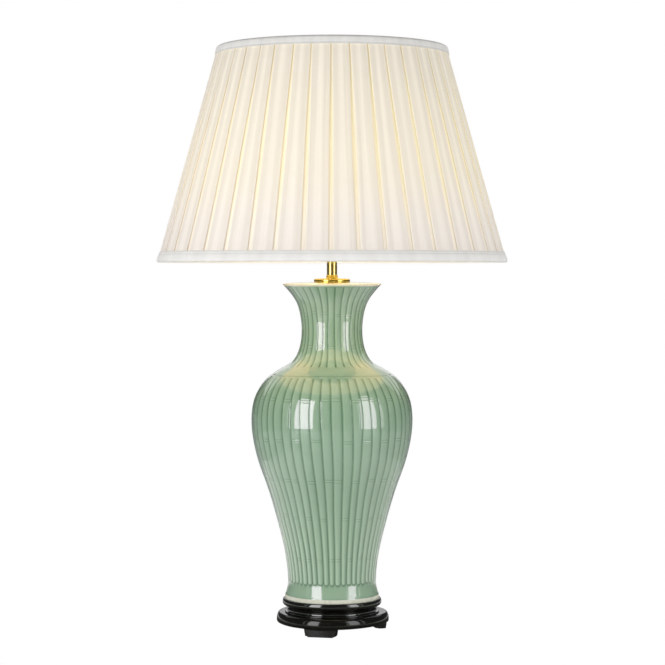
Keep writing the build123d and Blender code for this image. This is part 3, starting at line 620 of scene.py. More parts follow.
    depth_n = 0.13
    cut_n = carve(s_n, u_n, w_n, depth_n, 0.7, 0.55)
    line_n = np.where(s_n < 0, np.exp(-np.abs(s_n / 1.15) ** 1.4), np.exp(-np.abs(s_n / 0.90) ** 1.9))
    slow_n = np.where(s_n < 0, np.exp(-np.abs(s_n / 2.2) ** 1.5), 0)
    pale_n = np.exp(-((s_n - 1.8) / 1.0) ** 2)
    tone_n = 1.05 * line_n + 0.22 * slow_n - 0.26 * pale_n
    rag_n = np.random.default_rng(6).normal(0, 0.5, NECK_FLUTES)
    end_n = NECK_END + rag_n[k_n] - 0.0 * u_n
    end_line = NECK_END + np.where(s_n < 0, rag_n[k_n], rag_n[k_n])
    in_n = smooth(z, end_line - 0.8, end_line + 0.8) * (1 - smooth(z, NECK_TOP - 1.5, NECK_TOP + 1.0))
    d = d - cut_n * in_n
    tone = tone + (tone_n - 0.20) * in_n
    # a dark drop where each neck groove stops
    tone = tone + 0.55 * np.exp(-(s_n / 1.5) ** 2 - ((z - end_line - 1.0) / 1.9) ** 2)
    # the flare under the lip is a little darker
    tone = tone + 0.10 * smooth(z, 420.0, 440.0)

    # incised ring between neck and body
    ringz = LINE_Z + 0.35 * np.sin(np.radians(ph) * 3 + 1.0)
    d = d - 0.18 * bell(z - ringz, 0.6)
    tone = tone + 0.60 * bell(z - ringz, 0.65) - 0.22 * bell(z - ringz + 1.5, 0.8)

    # bamboo joints: double arcs across every other rib, row by row
    def joints(rows_, u, k, count, seed):
        nonlocal d, tone
        g = np.random.default_rng(seed)
        for n, (z0, parity) in enumerate(rows_):
            dz = g.normal(0, 1.1, count)
            gap = 1.35 + g.normal(0, 0.12, count)
            sag = g.normal(0.55, 0.25, count)
            has = ((np.arange(count) + parity) % 2 == 0).astype(float)
            extra = g.uniform(0, 1, count)
            has[(extra < 0.06)] = 1.0
            strength = has * g.uniform(0.7, 1.1, count)
            inside = 1 - smooth(np.abs(u), 0.36, 0.44)
            zc = z0 + dz[k] - sag[k] * (1 - (2 * u) ** 2)
            for sign in (-1, 1):
                line = bell(z - zc - sign * gap[k], 0.48) * inside * strength[k]
                d -= 0.26 * line
                tone += 0.62 * line
            hump = bell(z - zc, 0.8) * inside * strength[k]
            d += 0.10 * hump
            tone -= 0.22 * hump
        return

    joints(BODY_ROWS, u_b, k_b, BODY_FLUTES, 21)
    joints(NECK_ROWS, u_n, k_n, NECK_FLUTES, 22)
    d = np.minimum(d, 0.0)

    # hand-made: a little uneven, and never outside the turned shape
    d = d - 0.10 * (1 + np.sin(np.radians(ph) * 2 + 0.7) * np.cos(z / 70.0)) * smooth(z, 60, 120)
    # normal of the profile in the (r, z) plane
    nr, nz = tang[:, 1][:, None], -tang[:, 0][:, None]
    rr = r + d * nr
    zz = z + d * nz
    lip = smooth(z, 446.2, 447.0) + 0 * ph
    lip = np.maximum(lip, 0.9 * (1 - smooth(z, 43.2, 44.6)))

    # the rest of the closed section: lip, domed top, bore, inside
    f_in = []
    for i in range(4, len(VASE_SIDE) - 2):
        a, b = VASE_SIDE[i - 1], VASE_SIDE[i + 1]
        dr, dz = b[0] - a[0], b[1] - a[1]
        n = math.hypot(dr, dz)
        f_in.append((VASE_SIDE[i][0] - 5.5 * dz / n, VASE_SIDE[i][1] + 5.5 * dr / n))
    fi, ti = spline_through(f_in)
    inner = fi(np.linspace(0, ti, 70))[::-1]
    arc_pts = [(63.3, 447.7), (63.95, 448.3), (64.25, 448.9), (64.05, 449.5), (63.5, 449.85), (62.9, 450.0)]
    top = [(62.9 - (62.9 - 24) * t, 450.0 + 1.9 * (1 - (1 - t) ** 1.7)) for t in np.linspace(0.06, 1, 16)]
    rest = arc_pts + top + [(15.0, 451.9), (6.5, 451.9), (6.5, 445.9), (20.0, 446.2), (36.0, 444.7)]
    rest += [tuple(p) for p in inner] + [(45.0, 49.0), (25.0, 49.0), (6.5, 49.0), (6.5, 43.0), (25.0, 43.0), (46.0, 43.0), (49.5, 38.0), (55.0, 38.0), (60.2, 38.0), (61.0, 38.2), (61.4, 38.8)]
    rest = np.array(rest)
    n_rest = len(rest)
    RR = np.concatenate([rr, np.repeat(rest[:, :1], cols, 1)])
    ZZ = np.concatenate([zz, np.repeat(rest[:, 1:], cols, 1)])
    PH = np.radians(phi)[None]
    P = np.stack([RR * np.sin(PH), -RR * np.cos(PH), ZZ + 0 * PH], -1) * MM
    n_all = rows + n_rest
    q = grid_quads(n_all, cols, True, True)
    tone_all = np.concatenate([tone, np.full((n_rest, cols), -0.2)])
    lip_all = np.concatenate([lip, np.ones((n_rest, cols))])
    # unglazed foot and inside, glazed elsewhere
    row_mat = np.zeros(n_all, int)
    row_mat[:rows][prof[:, 1] < 43.3] = 1
    row_mat[rows + len(arc_pts) + len(top) + 1:] = 1
    mat_index = row_mat[(q // cols).min(1)]
    # one chart round the vase
    edge = np.concatenate([[0], np.cumsum(np.linalg.norm(np.diff(np.concatenate([prof, rest]), axis=0), axis=1))])
    v_row = edge / (edge[-1] + 12.0)
    row, col = q // cols, q % cols
    vv = v_row[row]
    vv = np.where((row == 0) & ((row.max(1) - row.min(1) > 1)[:, None]), 1.0, vv)
    uu = np.where((col == 0) & ((col.max(1) - col.min(1) > 1)[:, None]), cols, col) / cols
    uv = np.stack([0.002 + 0.996 * uu, 0.002 + 0.996 * vv], -1)
    ob = mesh_object("vase_carved", P.reshape(-1, 3), q, "base", "celadon_glaze", [MAT["celadon"], MAT["biscuit"]], mat_index, {"glaze": tone_all, "lip": lip_all}, uv)
    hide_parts("vase")
    return ob


vase = build_vase()

# =====================================================================
# stand: turned plinth, lobed plate and three carved feet, black lacquer
# =====================================================================
LOBE = 256.8


def arc(c, radius, a0, a1, n=8):
    return [(c[0] + radius * math.cos(math.radians(a0 + (a1 - a0) * i / n)), c[1] + radius * math.sin(math.radians(a0 + (a1 - a0) * i / n))) for i in range(n + 1)]


def build_plinth():
    roll = [(62.5, 30.1), (63.5, 30.8), (64.3, 32.0), (64.75, 33.3), (64.85, 34.6), (64.6, 36.3), (64.0, 37.8), (63.4, 38.6), (62.6, 38.8)]
    p = [(20.0, 20.55), (20.0, 26.0), (5.5, 26.0), (5.5, 37.0), (62.0, 37.0), (62.0, 38.75)]
    outer = roll[::-1] + [(61.9, 29.6)] + [(60.6, 28.9), (59.5, 28.0), (58.7, 26.8), (58.1, 25.4), (57.9, 24.2), (58.3, 22.6), (61.0, 22.3), (61.55, 22.05), (61.85, 21.4), (61.6, 20.85), (61.0, 20.55)]
    prof = [(r, z) for r, z in p] + outer
    prof = np.array(prof)[::-1]
    return prof


def finish_lathe(ob, width=0.35):
    bev = ob.modifiers.new("edge", "BEVEL")
    bev.width = width * MM
    bev.segments = 2
    bev.limit_method = "ANGLE"
    bev.angle_limit = math.radians(38)
    wn = ob.modifiers.new("shade", "WEIGHTED_NORMAL")
    wn.keep_sharp = True
    return ob


plinth = lathe("stand_plinth_turned", build_plinth(), "base", "black_lacquer", MAT["lacquer"], 192)
finish_lathe(plinth, 0.3)
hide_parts("stand_plinth")


def build_plate():
    """Lobed plate with a bullnose edge and a wiring hole through its middle."""
    n = 288
    ang = np.arange(n) / n * 360.0
    base = 73.4 + 1.6 * np.cos(np.radians(3 * (ang - LOBE)))
    z0, z1, e0, e, tall = 7.5, 20.5, 1.8, 4.6, 9.4
    prof = []  # (inset from the outline, z)
    for a in np.linspace(-90, 0, 9):
        prof.append((e0 - e0 * math.cos(math.radians(a)), z0 + e0 + e0 * math.sin(math.radians(a))))
    for a in np.linspace(0, 90, 13):
        prof.append((e - e * math.cos(math.radians(a)), z1 - tall + tall * math.sin(math.radians(a))))
    prof = np.array(prof)
    rows_r = [base - p[0] for p in prof] + [base - 8.0, np.full(n, 60.5), np.full(n, 45.0), np.full(n, 26.3), np.full(n, 26.0), np.full(n, 26.0), np.full(n, 26.3), np.full(n, 45.0), base - 8.0]
    rows_z = [p[1] for p in prof] + [z1, z1, z1, z1, z1 - 0.3, z0 + 0.3, z0, z0, z0]
    R = np.array(rows_r)
    Z = np.array(rows_z)[:, None] + 0 * R
    a = np.radians(ang)[None]
    P = np.stack([R * np.cos(a), R * np.sin(a), Z], -1) * MM
    q = grid_quads(len(R), n, True, True)
    row = (q // n).min(1)
    flat_top = (row >= len(prof) - 1) & (row < len(prof) + 4)
    return mesh_object("stand_plate_lobed", P.reshape(-1, 3), q, "base", "black_lacquer", [MAT["lacquer_plate"], MAT["lacquer_top"]], flat_top.astype(int))


def carved_feet():
    """Three bracket feet with carved lines across their faces."""
    out = []
    verts, quads, count = [], [], 0
    g = np.random.default_rng(3)
    for k in range(3):
        mid = math.radians(LOBE + 120 * k)
        nu, nv = 61, 33
        us = np.linspace(-1, 1, nu)
        zs = np.linspace(-1.8, 7.6, nv)
        half = 21.4 - 1.5 * (7.5 - zs) / 9.3
        r_out = 72.3 - 1.2 * ((7.5 - zs) / 9.3)
        line = np.zeros(nv)
        for zc in (-0.4, 1.2, 2.9, 4.5, 6.0):
            line += np.exp(-((zs - zc) / 0.42) ** 2)
        rows = []
        for j, z in enumerate(zs):
            # outline at this height: front arc, rounded corners, sides, back
            pts = []
            h = half[j]
            depth = 0.55 * line[j]
            for u in us:
                x = u * h
                edge = (1 - abs(u)) * h
                corner = 1.6
                inset = 0.0
                if edge < corner:
                    inset = corner - math.sqrt(max(corner**2 - (corner - edge) ** 2, 0))
                wob = 0.12 * math.sin(u * 7 + (z + 3) * 1.3 + k)
                y = math.sqrt(max(r_out[j] ** 2 - x**2, 0)) - inset - depth * (0.85 + 0.15 * math.sin(u * 19 + j)) + wob * 0.5
                pts.append((x, y))
            for t in np.linspace(0, 1, 8)[1:]:
                pts.append((h - 0.3 * depth, pts[nu - 1][1] * (1 - t) + 54.3 * t))
            for t in np.linspace(0, 1, 8)[1:-1]:
                pts.append((h * (1 - 2 * t), 54.3))
            for t in np.linspace(0, 1, 8)[:-1]:
                pts.append((-h + 0.3 * depth, pts[0][1] * t + 54.3 * (1 - t)))
            rows.append([(p[0], p[1], z) for p in pts])
        A = np.array(rows)                                  # (nv, n, 3) x right, y outwards
        n = A.shape[1]
        ca, sa = math.cos(mid), math.sin(mid)
        X = A[..., 1] * ca - (-A[..., 0]) * sa * -1
        X = A[..., 1] * ca + A[..., 0] * sa
        Y = A[..., 1] * sa - A[..., 0] * ca
        P = np.stack([X, Y, A[..., 2]], -1) * MM
        P = P[:, ::-1]
        verts.append(P.reshape(-1, 3))
        quads.append(grid_quads(nv, n, True, False) + count)
        top = np.array([P[-1].mean(0)])
        bot = np.array([P[0].mean(0)])
        verts += [top, bot]
        it, ib = count + nv * n, count + nv * n + 1
        ring = np.arange(n)
        nxt = (ring + 1) % n
        last = count + (nv - 1) * n
        tris_t = np.stack([last + ring, last + nxt, np.full(n, it), np.full(n, it)], 1)
        tris_b = np.stack([count + nxt, count + ring, np.full(n, ib), np.full(n, ib)], 1)
        out += [tris_t, tris_b]
        count += nv * n + 2
    V = np.concatenate(verts) + np.array([0, 0, DATUM * MM])
    me = bpy.data.meshes.new("stand_feet_carved")
    faces = [tuple(int(i) for i in f) for f in np.concatenate(quads)] + [tuple(int(i) for i in f[:3]) for t in out for f in t]
    me.from_pydata([tuple(v) for v in V], [], faces)
    me.update()
    me.polygons.foreach_set("use_smooth", [True] * len(me.polygons))
    me.materials.append(MAT["lacquer_carved"])
    ob = bpy.data.objects.new("stand_feet_carved", me)
    bpy.context.scene.collection.objects.link(ob)
    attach(ob, "base")
    finish_lathe(ob, 0.25)
    return ob


plate = build_plate()
finish_lathe(plate, 0.2)
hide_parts("stand_plate")
feet = carved_feet()
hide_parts("stand_feet")

# =====================================================================
# brass on the vase: cap, check ring, stem
# =====================================================================
cap = lathe("vase_cap_spun", soften([(5.1, 452.95), (22.3, 452.95), (22.5, 452.1), (23.2, 452.1), (23.5, 452.6), (23.5, 455.1), (22.9, 456.0), (19.0, 456.35), (12.0, 456.8), (9.0, 456.98), (5.1, 456.98)], 0.45), "base", "polished_brass", MAT["brass"], 128)
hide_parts("vase_cap")
check = lathe("check_ring_turned", soften([(5.1, 457.02), (8.5, 457.02), (8.2, 457.7), (7.35, 458.3), (7.3, 458.8), (7.65, 459.4), (7.7, 460.2), (7.25, 460.95), (5.1, 460.95)], 0.3), "base", "polished_brass", MAT["brass"], 96)
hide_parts("check_ring")
stem = lathe("stem_tube_drawn", soften([(5.5, 461.02), (6.7, 461.02), (6.7, 494.98), (5.5, 494.98)], 0.25), "base", "polished_brass", MAT["brass_stem"], 96)
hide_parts("stem_tube")

# =====================================================================
# shade: box-pleated silk over a wire frame, lined, bound top and bottom
# =====================================================================
PLEATS = 41
CONE_R0, SLOPE, SHADE_Z0, SHADE_Z1 = 227.8, 0.2818, 476.8, 757.4


def cone_r(z):
    return CONE_R0 - SLOPE * (z - SHADE_Z0)


def build_cover():
    z0, z1 = 478.6, 755.8
    zr = np.sort(np.concatenate([np.linspace(z0, z1, 64), [743.4, 745.2, 746.6, 488.6, 492.2]]))
    nr = len(zr)
    t = (zr - z0) / (z1 - z0)
    g = np.random.default_rng(17)
    g2 = np.random.default_rng(23)
    P_all, deep_all, gap_all, painted_shadow_line_all, thread_and_painted_glow_all, painted_gap_glows = [], [], [], [], [], []
    # painted light: towards the hem the painted glow falls off and turns neutral; painted shade: the narrow top of each
    # fold is darker
    low = 1 - smooth(zr, 490, 600)
    dim = 0.05 + 0.20 * smooth(zr, 600, 750)
    shift0 = g.normal(0, 0.55, PLEATS + 1)
    shift0[-1] = shift0[0]
    drift = g.normal(0, 0.7, PLEATS + 1)
    drift[-1] = drift[0]
    bow = g.uniform(0.5, 1.0, PLEATS)
    wid = g.normal(0, 0.35, PLEATS + 1)
    wid[-1] = wid[0]
    lean = g.normal(0, 0.5, PLEATS)
    phase = -0.6                                            # degrees: where the pleats start at the front
    for j in range(PLEATS):
        pc = (j + 0.5) * 360.0 / PLEATS + phase
        r_out = cone_r(zr) - 0.12
        pitch = TAU * r_out / PLEATS
        # the open gap between boxes, in mm: narrow at the top, widest below the middle
        gap_w = 1.5 + 3.0 * smooth(1 - t, 0.05, 0.5) + 0.7 * smooth(1 - t, 0.5, 0.93) + 1.3 * smooth(1 - t, 0.93, 1.0)
        gl = gap_w + wid[j] * np.sin(t * 2.6 + j)
        gr = gap_w + wid[j + 1] * np.sin(t * 2.6 + j + 1)
        cl = shift0[j] + drift[j] * np.sin(t * 3.0 + j * 1.7)
        cr = shift0[j + 1] + drift[j + 1] * np.sin(t * 3.0 + (j + 1) * 1.7)
        if j == PLEATS - 1:
            gr = gap_w + wid[0] * np.sin(t * 2.6)
            cr = shift0[0] + drift[0] * np.sin(t * 3.0)
        xl = -pitch / 2 + cl + gl / 2                       # left edge of the box
        xr = pitch / 2 + cr - gr / 2
        u = np.minimum(8.3, 0.38 * pitch)                   # how far the cloth is folded under
        ul, ur = u * (1 + 0.04 * lean[j]), u * (1 - 0.04 * lean[j])
        f1 = 0.42                                           # half the height of a fold
        cols = []

        def add(x, rho, dp, gp, ln=0.0):
            cols.append((x + 0 * zr, rho + 0 * zr, dp + 0 * zr, gp + 0 * zr, ln + 0 * zr))

        back, midl = -1.75, -0.95
        # painted shadow: thin is the strength of the line mask that darkens the gap beside each fold
        thin = 0.9 * low                                    # the fold's shadow on the gap's right side
        # painted glow: how golden each gap glows, stronger on one side of the shade, with a random part
        painted_gap_glow = 0.62 + 0.38 * math.sin(math.radians(pc) - 0.1) + g2.uniform(-0.25, 0.2)
        add(-pitch / 2 + cl, back, 0.0, 1.0)
        add(xl - np.minimum(1.2, 0.34 * gl), back, 0.0, 1.0)
        add(xl - np.minimum(0.5, 0.16 * gl), back, 0.0, 1.0, thin)
        add(xl + 0.1, back, 0.0, 1.0, thin)
        add(xl + 0.9, back, 0.9, 0.3)
        add(xl + ul * 0.6, back, 1.0, 0.0)
        add(xl + ul - 0.25, back, 1.0, 0.0)
        add(xl + ul, back + f1, 1.0, 0.0)
        add(xl + ul - 0.25, midl + 0.05, 1.0, 0.0)
        add(xl + ul * 0.5, midl, 1.0, 0.0)
        add(xl + 0.35, midl, 1.0, 0.1)
        add(xl - 0.05, midl + 0.4, 0.2, 0.6)
        add(xl + 0.02, -0.16, 0.0, 0.5)
        add(xl + 0.35, -0.03, 0.0, 0.4)
        add(xl + 1.1, 0.0, 0.15, 0.2)
        w = xr - xl
        fl, fr = np.minimum(ul, 0.37 * w), np.minimum(ur, 0.37 * w)
        for k, dp in ((0.24, 0.9), (0.5, 1.0), (0.75, 0.95), (0.9, 0.70), (1.08, 0.30), (1.28, 0.05)):
            add(xl + fl * k, 0.0, dp, 0.0)
        for k in (0.25, 0.5, 0.75):
            add((xl + 1.28 * fl) * (1 - k) + (xr - 1.28 * fr) * k, 0.0, 0.0, 0.0)
        for k, dp in ((1.28, 0.05), (1.08, 0.30), (0.9, 0.70), (0.75, 0.95), (0.5, 1.0), (0.24, 1.0)):
            add(xr - fr * k, 0.0, dp, 0.0)
        add(xr - 0.35, -0.03, 0.75, 0.0)
        add(xr - 0.02, -0.16, 0.85, 0.1)
        add(xr + 0.05, midl + 0.4, 0.9, 0.35)
        add(xr - 0.35, midl, 1.0, 0.1)
        add(xr - ur * 0.5, midl, 1.0, 0.0)
        add(xr - ur + 0.25, midl + 0.05, 1.0, 0.0)
        add(xr - ur, back + f1, 1.0, 0.0)
        add(xr - ur + 0.25, back, 1.0, 0.0)
        add(xr - ur * 0.6, back, 1.0, 0.0)
        add(xr - 0.9, back, 0.9, 0.3, 0.6)
        add(xr - 0.1, back, 0.1, 1.0, 1.0)
        add(xr + np.minimum(1.1, 0.30 * gr), back, 0.0, 1.0, 1.0)
        add(xr + np.minimum(1.7, 0.44 * gr), back, 0.0, 1.0)
        C = np.array(cols)                                  # (n, 5, nr)
        x, rho, dp, gp, ln = C[:, 0], C[:, 1], C[:, 2], C[:, 3], C[:, 4]
        painted_gap_glows.append(painted_gap_glow + 0 * x)
        rad = r_out[None] + rho
        ang = math.radians(pc) + x / r_out[None]
        # soft hollows and swells in the cloth, strongest on the front panels
        front = np.clip(1 + rho / 0.5, 0, 1)
        rad = rad + front * (0.10 * np.sin(t * 9 + j * 2.1)[None] * 0 - 0.22 * (1 - np.clip(np.abs(x - (xl + xr) / 2) / (w / 2), 0, 1) ** 2) * np.sin(math.pi * t)[None] * bow[j])
        P_all.append(np.stack([rad * np.sin(ang), -rad * np.cos(ang), np.repeat(zr[None], len(cols), 0)], -1))
        deep_all.append(dp)
        gap_all.append(gp)
        painted_shadow_line_all.append(ln)
        # uneven threads: each column's painted glow a touch lighter or darker, drifting with height
        n_c = len(cols)
        st = g2.normal(0, 0.06, (n_c, 1)) + g2.normal(0, 0.045, (n_c, 1)) * np.sin(t[None] * 5 + g2.uniform(0, TAU, (n_c, 1)))
        # painted light: the folds' own walls get little light from outside, so their painted glow is raised as if
        # shining through
        wall = 1 + 0.35 * bell(rho + 0.75, 0.45)
        # thread unevenness times painted shade on the deep folds and painted glow on the fold walls
        thread_and_painted_glow_all.append((1 + st * np.where(gp > 0.5, 0.5, 1.0)) * (1 - dim[None] * dp) * wall)
    P = np.concatenate(P_all).transpose(1, 0, 2) * MM       # (nr, cols, 3)
    deep = np.concatenate(deep_all).T
    gap = np.concatenate(gap_all).T
    line = np.concatenate(painted_shadow_line_all).T
    thread_and_painted_glow = np.concatenate(thread_and_painted_glow_all).T
    painted_gap_glow = np.clip(np.concatenate(painted_gap_glows).T, 0, 1)
    cols = P.shape[1]
    q = grid_quads(nr, cols, True, False)
    # painted light: how much of the bulb's light each height gets, as a painted glow, with a brighter painted band
    # under the top binding
    h = zr[:, None]
    glow = np.interp(h, [476, 490, 508, 550, 610, 680, 725, 744], [0.55, 0.62, 0.76, 0.93, 1.0, 0.97, 0.84, 0.74]) * thread_and_painted_glow
    glow = glow + 0.22 * bell(h - 745.2, 1.3)
    v_row = (zr - zr[0]) / (zr[-1] - zr[0])
    arcs = np.concatenate([[0], np.cumsum(np.linalg.norm(np.diff(P[nr // 2], axis=0), axis=1))])
    total = arcs[-1] + np.linalg.norm(P[nr // 2][0] - P[nr // 2][-1])
    row, col = q // cols, q % cols
    wraps = (col.max(1) - col.min(1) > 1)[:, None] & (col == 0)
    uu = np.where(wraps, 1.0, (arcs / total)[col])
    uv = np.stack([0.002 + 0.996 * uu, 0.002 + 0.996 * v_row[row]], -1)
    ob = mesh_object("shade_cover_pleated", P.reshape(-1, 3), q, "shade", "pleated_silk", [MAT["cover"]], None, {"deep": deep, "gap": gap, "glow": glow, "line": line, "low": low[:, None] + 0 * gap, "painted_gap_glow": painted_gap_glow}, uv)
    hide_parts("shade_cover")
    return ob, total


cover, cover_len = build_cover()


def build_lining():
    """A thin cone inside the frame, drawn in slightly between the rings, with its seams."""
    z0, z1 = 479.0, 755.6
    nr, nc = 48, 288
    zr = np.linspace(z0, z1, nr)
    t = (zr - z0) / (z1 - z0)
    r0, r1 = 220.9, 143.1
    ang = np.arange(nc) / nc * TAU
    g = np.random.default_rng(4)
    base = (r0 + (r1 - r0) * (zr - 479.2) / (755.0 - 479.2))[:, None] - 0.35
    pull = 3.2 * np.sin(math.pi * t)[:, None]
    fold = 0
    for k in range(5):
        fold = fold + g.uniform(0.1, 0.35) * np.sin(ang * int(g.integers(12, 60)) + g.uniform(0, TAU))[None]
    strutd = np.abs((np.degrees(ang) - 22.5 + 22.5) % 45.0 - 22.5)[None]     # degrees from the nearest strut
    seam_d = np.abs((np.degrees(ang) + 45.0) % 90.0 - 45.0)[None]
    R = base - pull * (1 - 0.25 * np.exp(-(((22.5 - strutd) / 5.0) ** 2))) - 0.35 * (1 + fold) * np.sin(math.pi * t)[:, None]
    seam = np.exp(-((seam_d / 0.5) ** 2)) + 0 * R
    P = np.stack([R * np.cos(ang)[None], R * np.sin(ang)[None], np.repeat(zr[:, None], nc, 1)], -1) * MM
    q = grid_quads(nr, nc, True, False)
    uv = ring_uv(q, nr, nc, t)
    ob = mesh_object("shade_lining_drawn", P.reshape(-1, 3), q, "shade", "lining_silk", [MAT["lining"]], None, {"seam": seam}, uv)
    sol = ob.modifiers.new("cloth", "SOLIDIFY")
    sol.thickness = 0.3 * MM
    sol.offset = 1.0
    sol.use_rim = True
    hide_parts("shade_lining")
    return ob


lining = build_lining()


def build_trim(name, node, profile, shade, sewn, seg=480):
    """A folded binding: the profile is the strip's middle line, given from the outside edge round to the inside edge."""
    p = np.asarray(profile, float)
    d = np.concatenate([[0], np.cumsum(np.linalg.norm(np.diff(p, axis=0), axis=1))])
    f, total = spline_through(p)
    n = 56
    line = f(np.linspace(0, total, n))
    ang = np.arange(seg) / seg * TAU
    g = np.random.default_rng(9)
    tangent = np.gradient(line, axis=0)
    tangent /= np.linalg.norm(tangent, axis=1)[:, None]
    normal = np.stack([-tangent[:, 1], tangent[:, 0]], 1)    # left of the direction of travel
    R = np.repeat(line[:, :1], seg, 1)
    Z = np.repeat(line[:, 1:], seg, 1)
    # small puckers along the stitches
    s = np.linspace(0, 1, n)[:, None]
    pk = 0.10 * np.sin(ang * 150)[None] * np.exp(-((s - 0.06) / 0.05) ** 2)
    soft = 0.12 * np.sin(ang * 23 + 1.0)[None] * np.sin(math.pi * s) + 0.08 * np.sin(ang * 57)[None] * np.sin(math.pi * s)
    R = R - normal[:, :1] * (pk + soft) * -1 - 0.0
    Z = Z + normal[:, 1:] * (pk + soft) * 0.0
    P = np.stack([R * np.cos(ang)[None], R * np.sin(ang)[None], Z], -1) * MM
    q = grid_quads(n, seg, True, False)
    uv = ring_uv(q, n, seg, s[:, 0])
    # painted shade: the whole strip a little grey, darker on its roll and along the sewn lines; painted light: the
    # inside glows as if lit
    roll_z = line[:, 1].max() if line[0, 1] < line[-1, 1] + 0.0 and line[:, 1].max() > 600 else line[:, 1].min()
    base, roll = shade
    lz, lr = line[:, 1][:, None], line[:, 0][:, None]
    outside = np.clip((lr - line[:, 0].mean()) / 2.0 + 0.5, 0, 1)
    dark = base + roll * bell(lz - roll_z, 1.9) * outside
    for zs_ in sewn:
        dark = dark + 0.26 * bell(lz - zs_, 0.65) * outside
    dark = dark + 0.02 * np.sin(ang * 31)[None] + 0.015 * np.sin(ang * 83 + 1)[None]
    inner = smooth(s, 0.60, 0.72) + 0 * R
    ob = mesh_object(name, P.reshape(-1, 3), q, "shade", "trim_binding", [MAT["binding"]], None, {"dark": np.clip(dark, 0, 1) + 0 * R, "inner": inner}, uv)
    sol = ob.modifiers.new("cloth", "SOLIDIFY")
    sol.thickness = 0.45 * MM
    sol.offset = 0.0
    sol.use_rim = True
    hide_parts(node)
    return ob, total


# outside edge with its stitches, over the roll, and up inside against the lining
# the last two arguments are the painted shade (the strip's grey and its roll's darkening) and the heights of the sewn
# lines
bottom_trim, bt_len = build_trim("bottom_trim_bound", "bottom_trim", [
    (cone_r(491.2) + 0.42, 491.2), (cone_r(488.8) + 0.62, 488.8), (cone_r(486.2) + 0.90, 486.2), (cone_r(483.6) + 1.35, 483.6), (228.0, 481.0), (228.0, 479.0),
    (227.0, 477.85), (225.0, 477.6), (222.4, 477.65), (220.75, 478.5), (219.9, 480.6), (218.9, 483.2), (218.15, 486.2)], (0.13, 0.10), (490.0, 487.4))
top_trim, tt_len = build_trim("top_trim_bound", "top_trim", [
    (cone_r(746.4) + 0.42, 746.4), (cone_r(748.6) + 0.6, 748.6), (cone_r(751.2) + 1.0, 751.2), (150.95, 753.6), (150.1, 755.6),
    (148.4, 756.95), (146.0, 757.15), (143.7, 757.1), (142.2, 756.0), (141.85, 753.5), (142.5, 749.2)], (0.22, 0.36), (747.6,))


def stitches(name, rows, body):
    """Rows of small thread capsules: rows are (radius, height, slope, pitch)."""
    verts, quads, count = [], [], 0
    g = np.random.default_rng(2)
    for rad, z, dr_dz, pitch in rows:
        n = int(TAU * rad / pitch)
        a = np.arange(n) / n * TAU
        length = 2.5
        k, m = 6, 5
        s = np.linspace(-1, 1, m)
        rr = 0.24 * np.sqrt(np.clip(1 - s**4, 0.02, 1))
        cs = np.arange(k) / k * TAU
        tilt = 0.10
        # local axes: t along the row, n outwards, b up the cone
        for i in range(n):
            ca, sa = math.cos(a[i]), math.sin(a[i])
            T = np.array([-sa, ca, 0.0])
            up = np.array([dr_dz * ca, dr_dz * sa, 1.0])
            up /= np.linalg.norm(up)
            N = np.cross(T, up)
            C = np.array([rad * ca, rad * sa, z + g.normal(0, 0.05)])
            T2 = T * math.cos(tilt) + up * math.sin(tilt)
            B2 = np.cross(N, T2)
            ringp = C + T2 * (s * length / 2)[:, None, None] + (N * 1.0) * (rr[:, None] * np.cos(cs)[None])[..., None] + B2 * (rr[:, None] * np.sin(cs)[None])[..., None]
            ringp = ringp - N * (0.22 * s**2)[:, None, None]
            v = ringp.reshape(-1, 3)
            verts.append(v)
            quads.append(grid_quads(m, k, True, False) + count)
            verts.append(np.array([C + T2 * (-length / 2 - 0.05) - N * 0.22, C + T2 * (length / 2 + 0.05) - N * 0.22]))
            i0, i1 = count + m * k, count + m * k + 1
            ring = np.arange(k)
            quads.append(np.stack([count + (ring + 1) % k, count + ring, np.full(k, i0), np.full(k, i0)], 1))
            quads.append(np.stack([count + (m - 1) * k + ring, count + (m - 1) * k + (ring + 1) % k, np.full(k, i1), np.full(k, i1)], 1))
            count += m * k + 2
    V = (np.concatenate(verts) + np.array([0, 0, DATUM])) * MM
    Q = np.concatenate(quads)
    me = bpy.data.meshes.new(name)
    faces = [tuple(int(i) for i in (f if f[2] != f[3] else f[:3])) for f in Q]
    me.from_pydata([tuple(v) for v in V], [], faces)
    me.update()
    me.polygons.foreach_set("use_smooth", [True] * len(me.polygons))
    me.materials.append(MAT["thread"])
    ob = bpy.data.objects.new(name, me)
    bpy.context.scene.collection.objects.link(ob)
    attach(ob, body)
    return ob


bottom_stitches = stitches("bottom_trim_stitches", [(cone_r(490.0) + 0.78, 490.0, -SLOPE, 3.3), (cone_r(487.4) + 0.98, 487.4, -SLOPE, 3.3)], "shade")
top_stitches = stitches("top_trim_stitches", [(cone_r(747.6) + 0.76, 747.6, -SLOPE, 3.3), (cone_r(749.6) + 0.98, 749.6, -SLOPE, 3.3)], "shade")

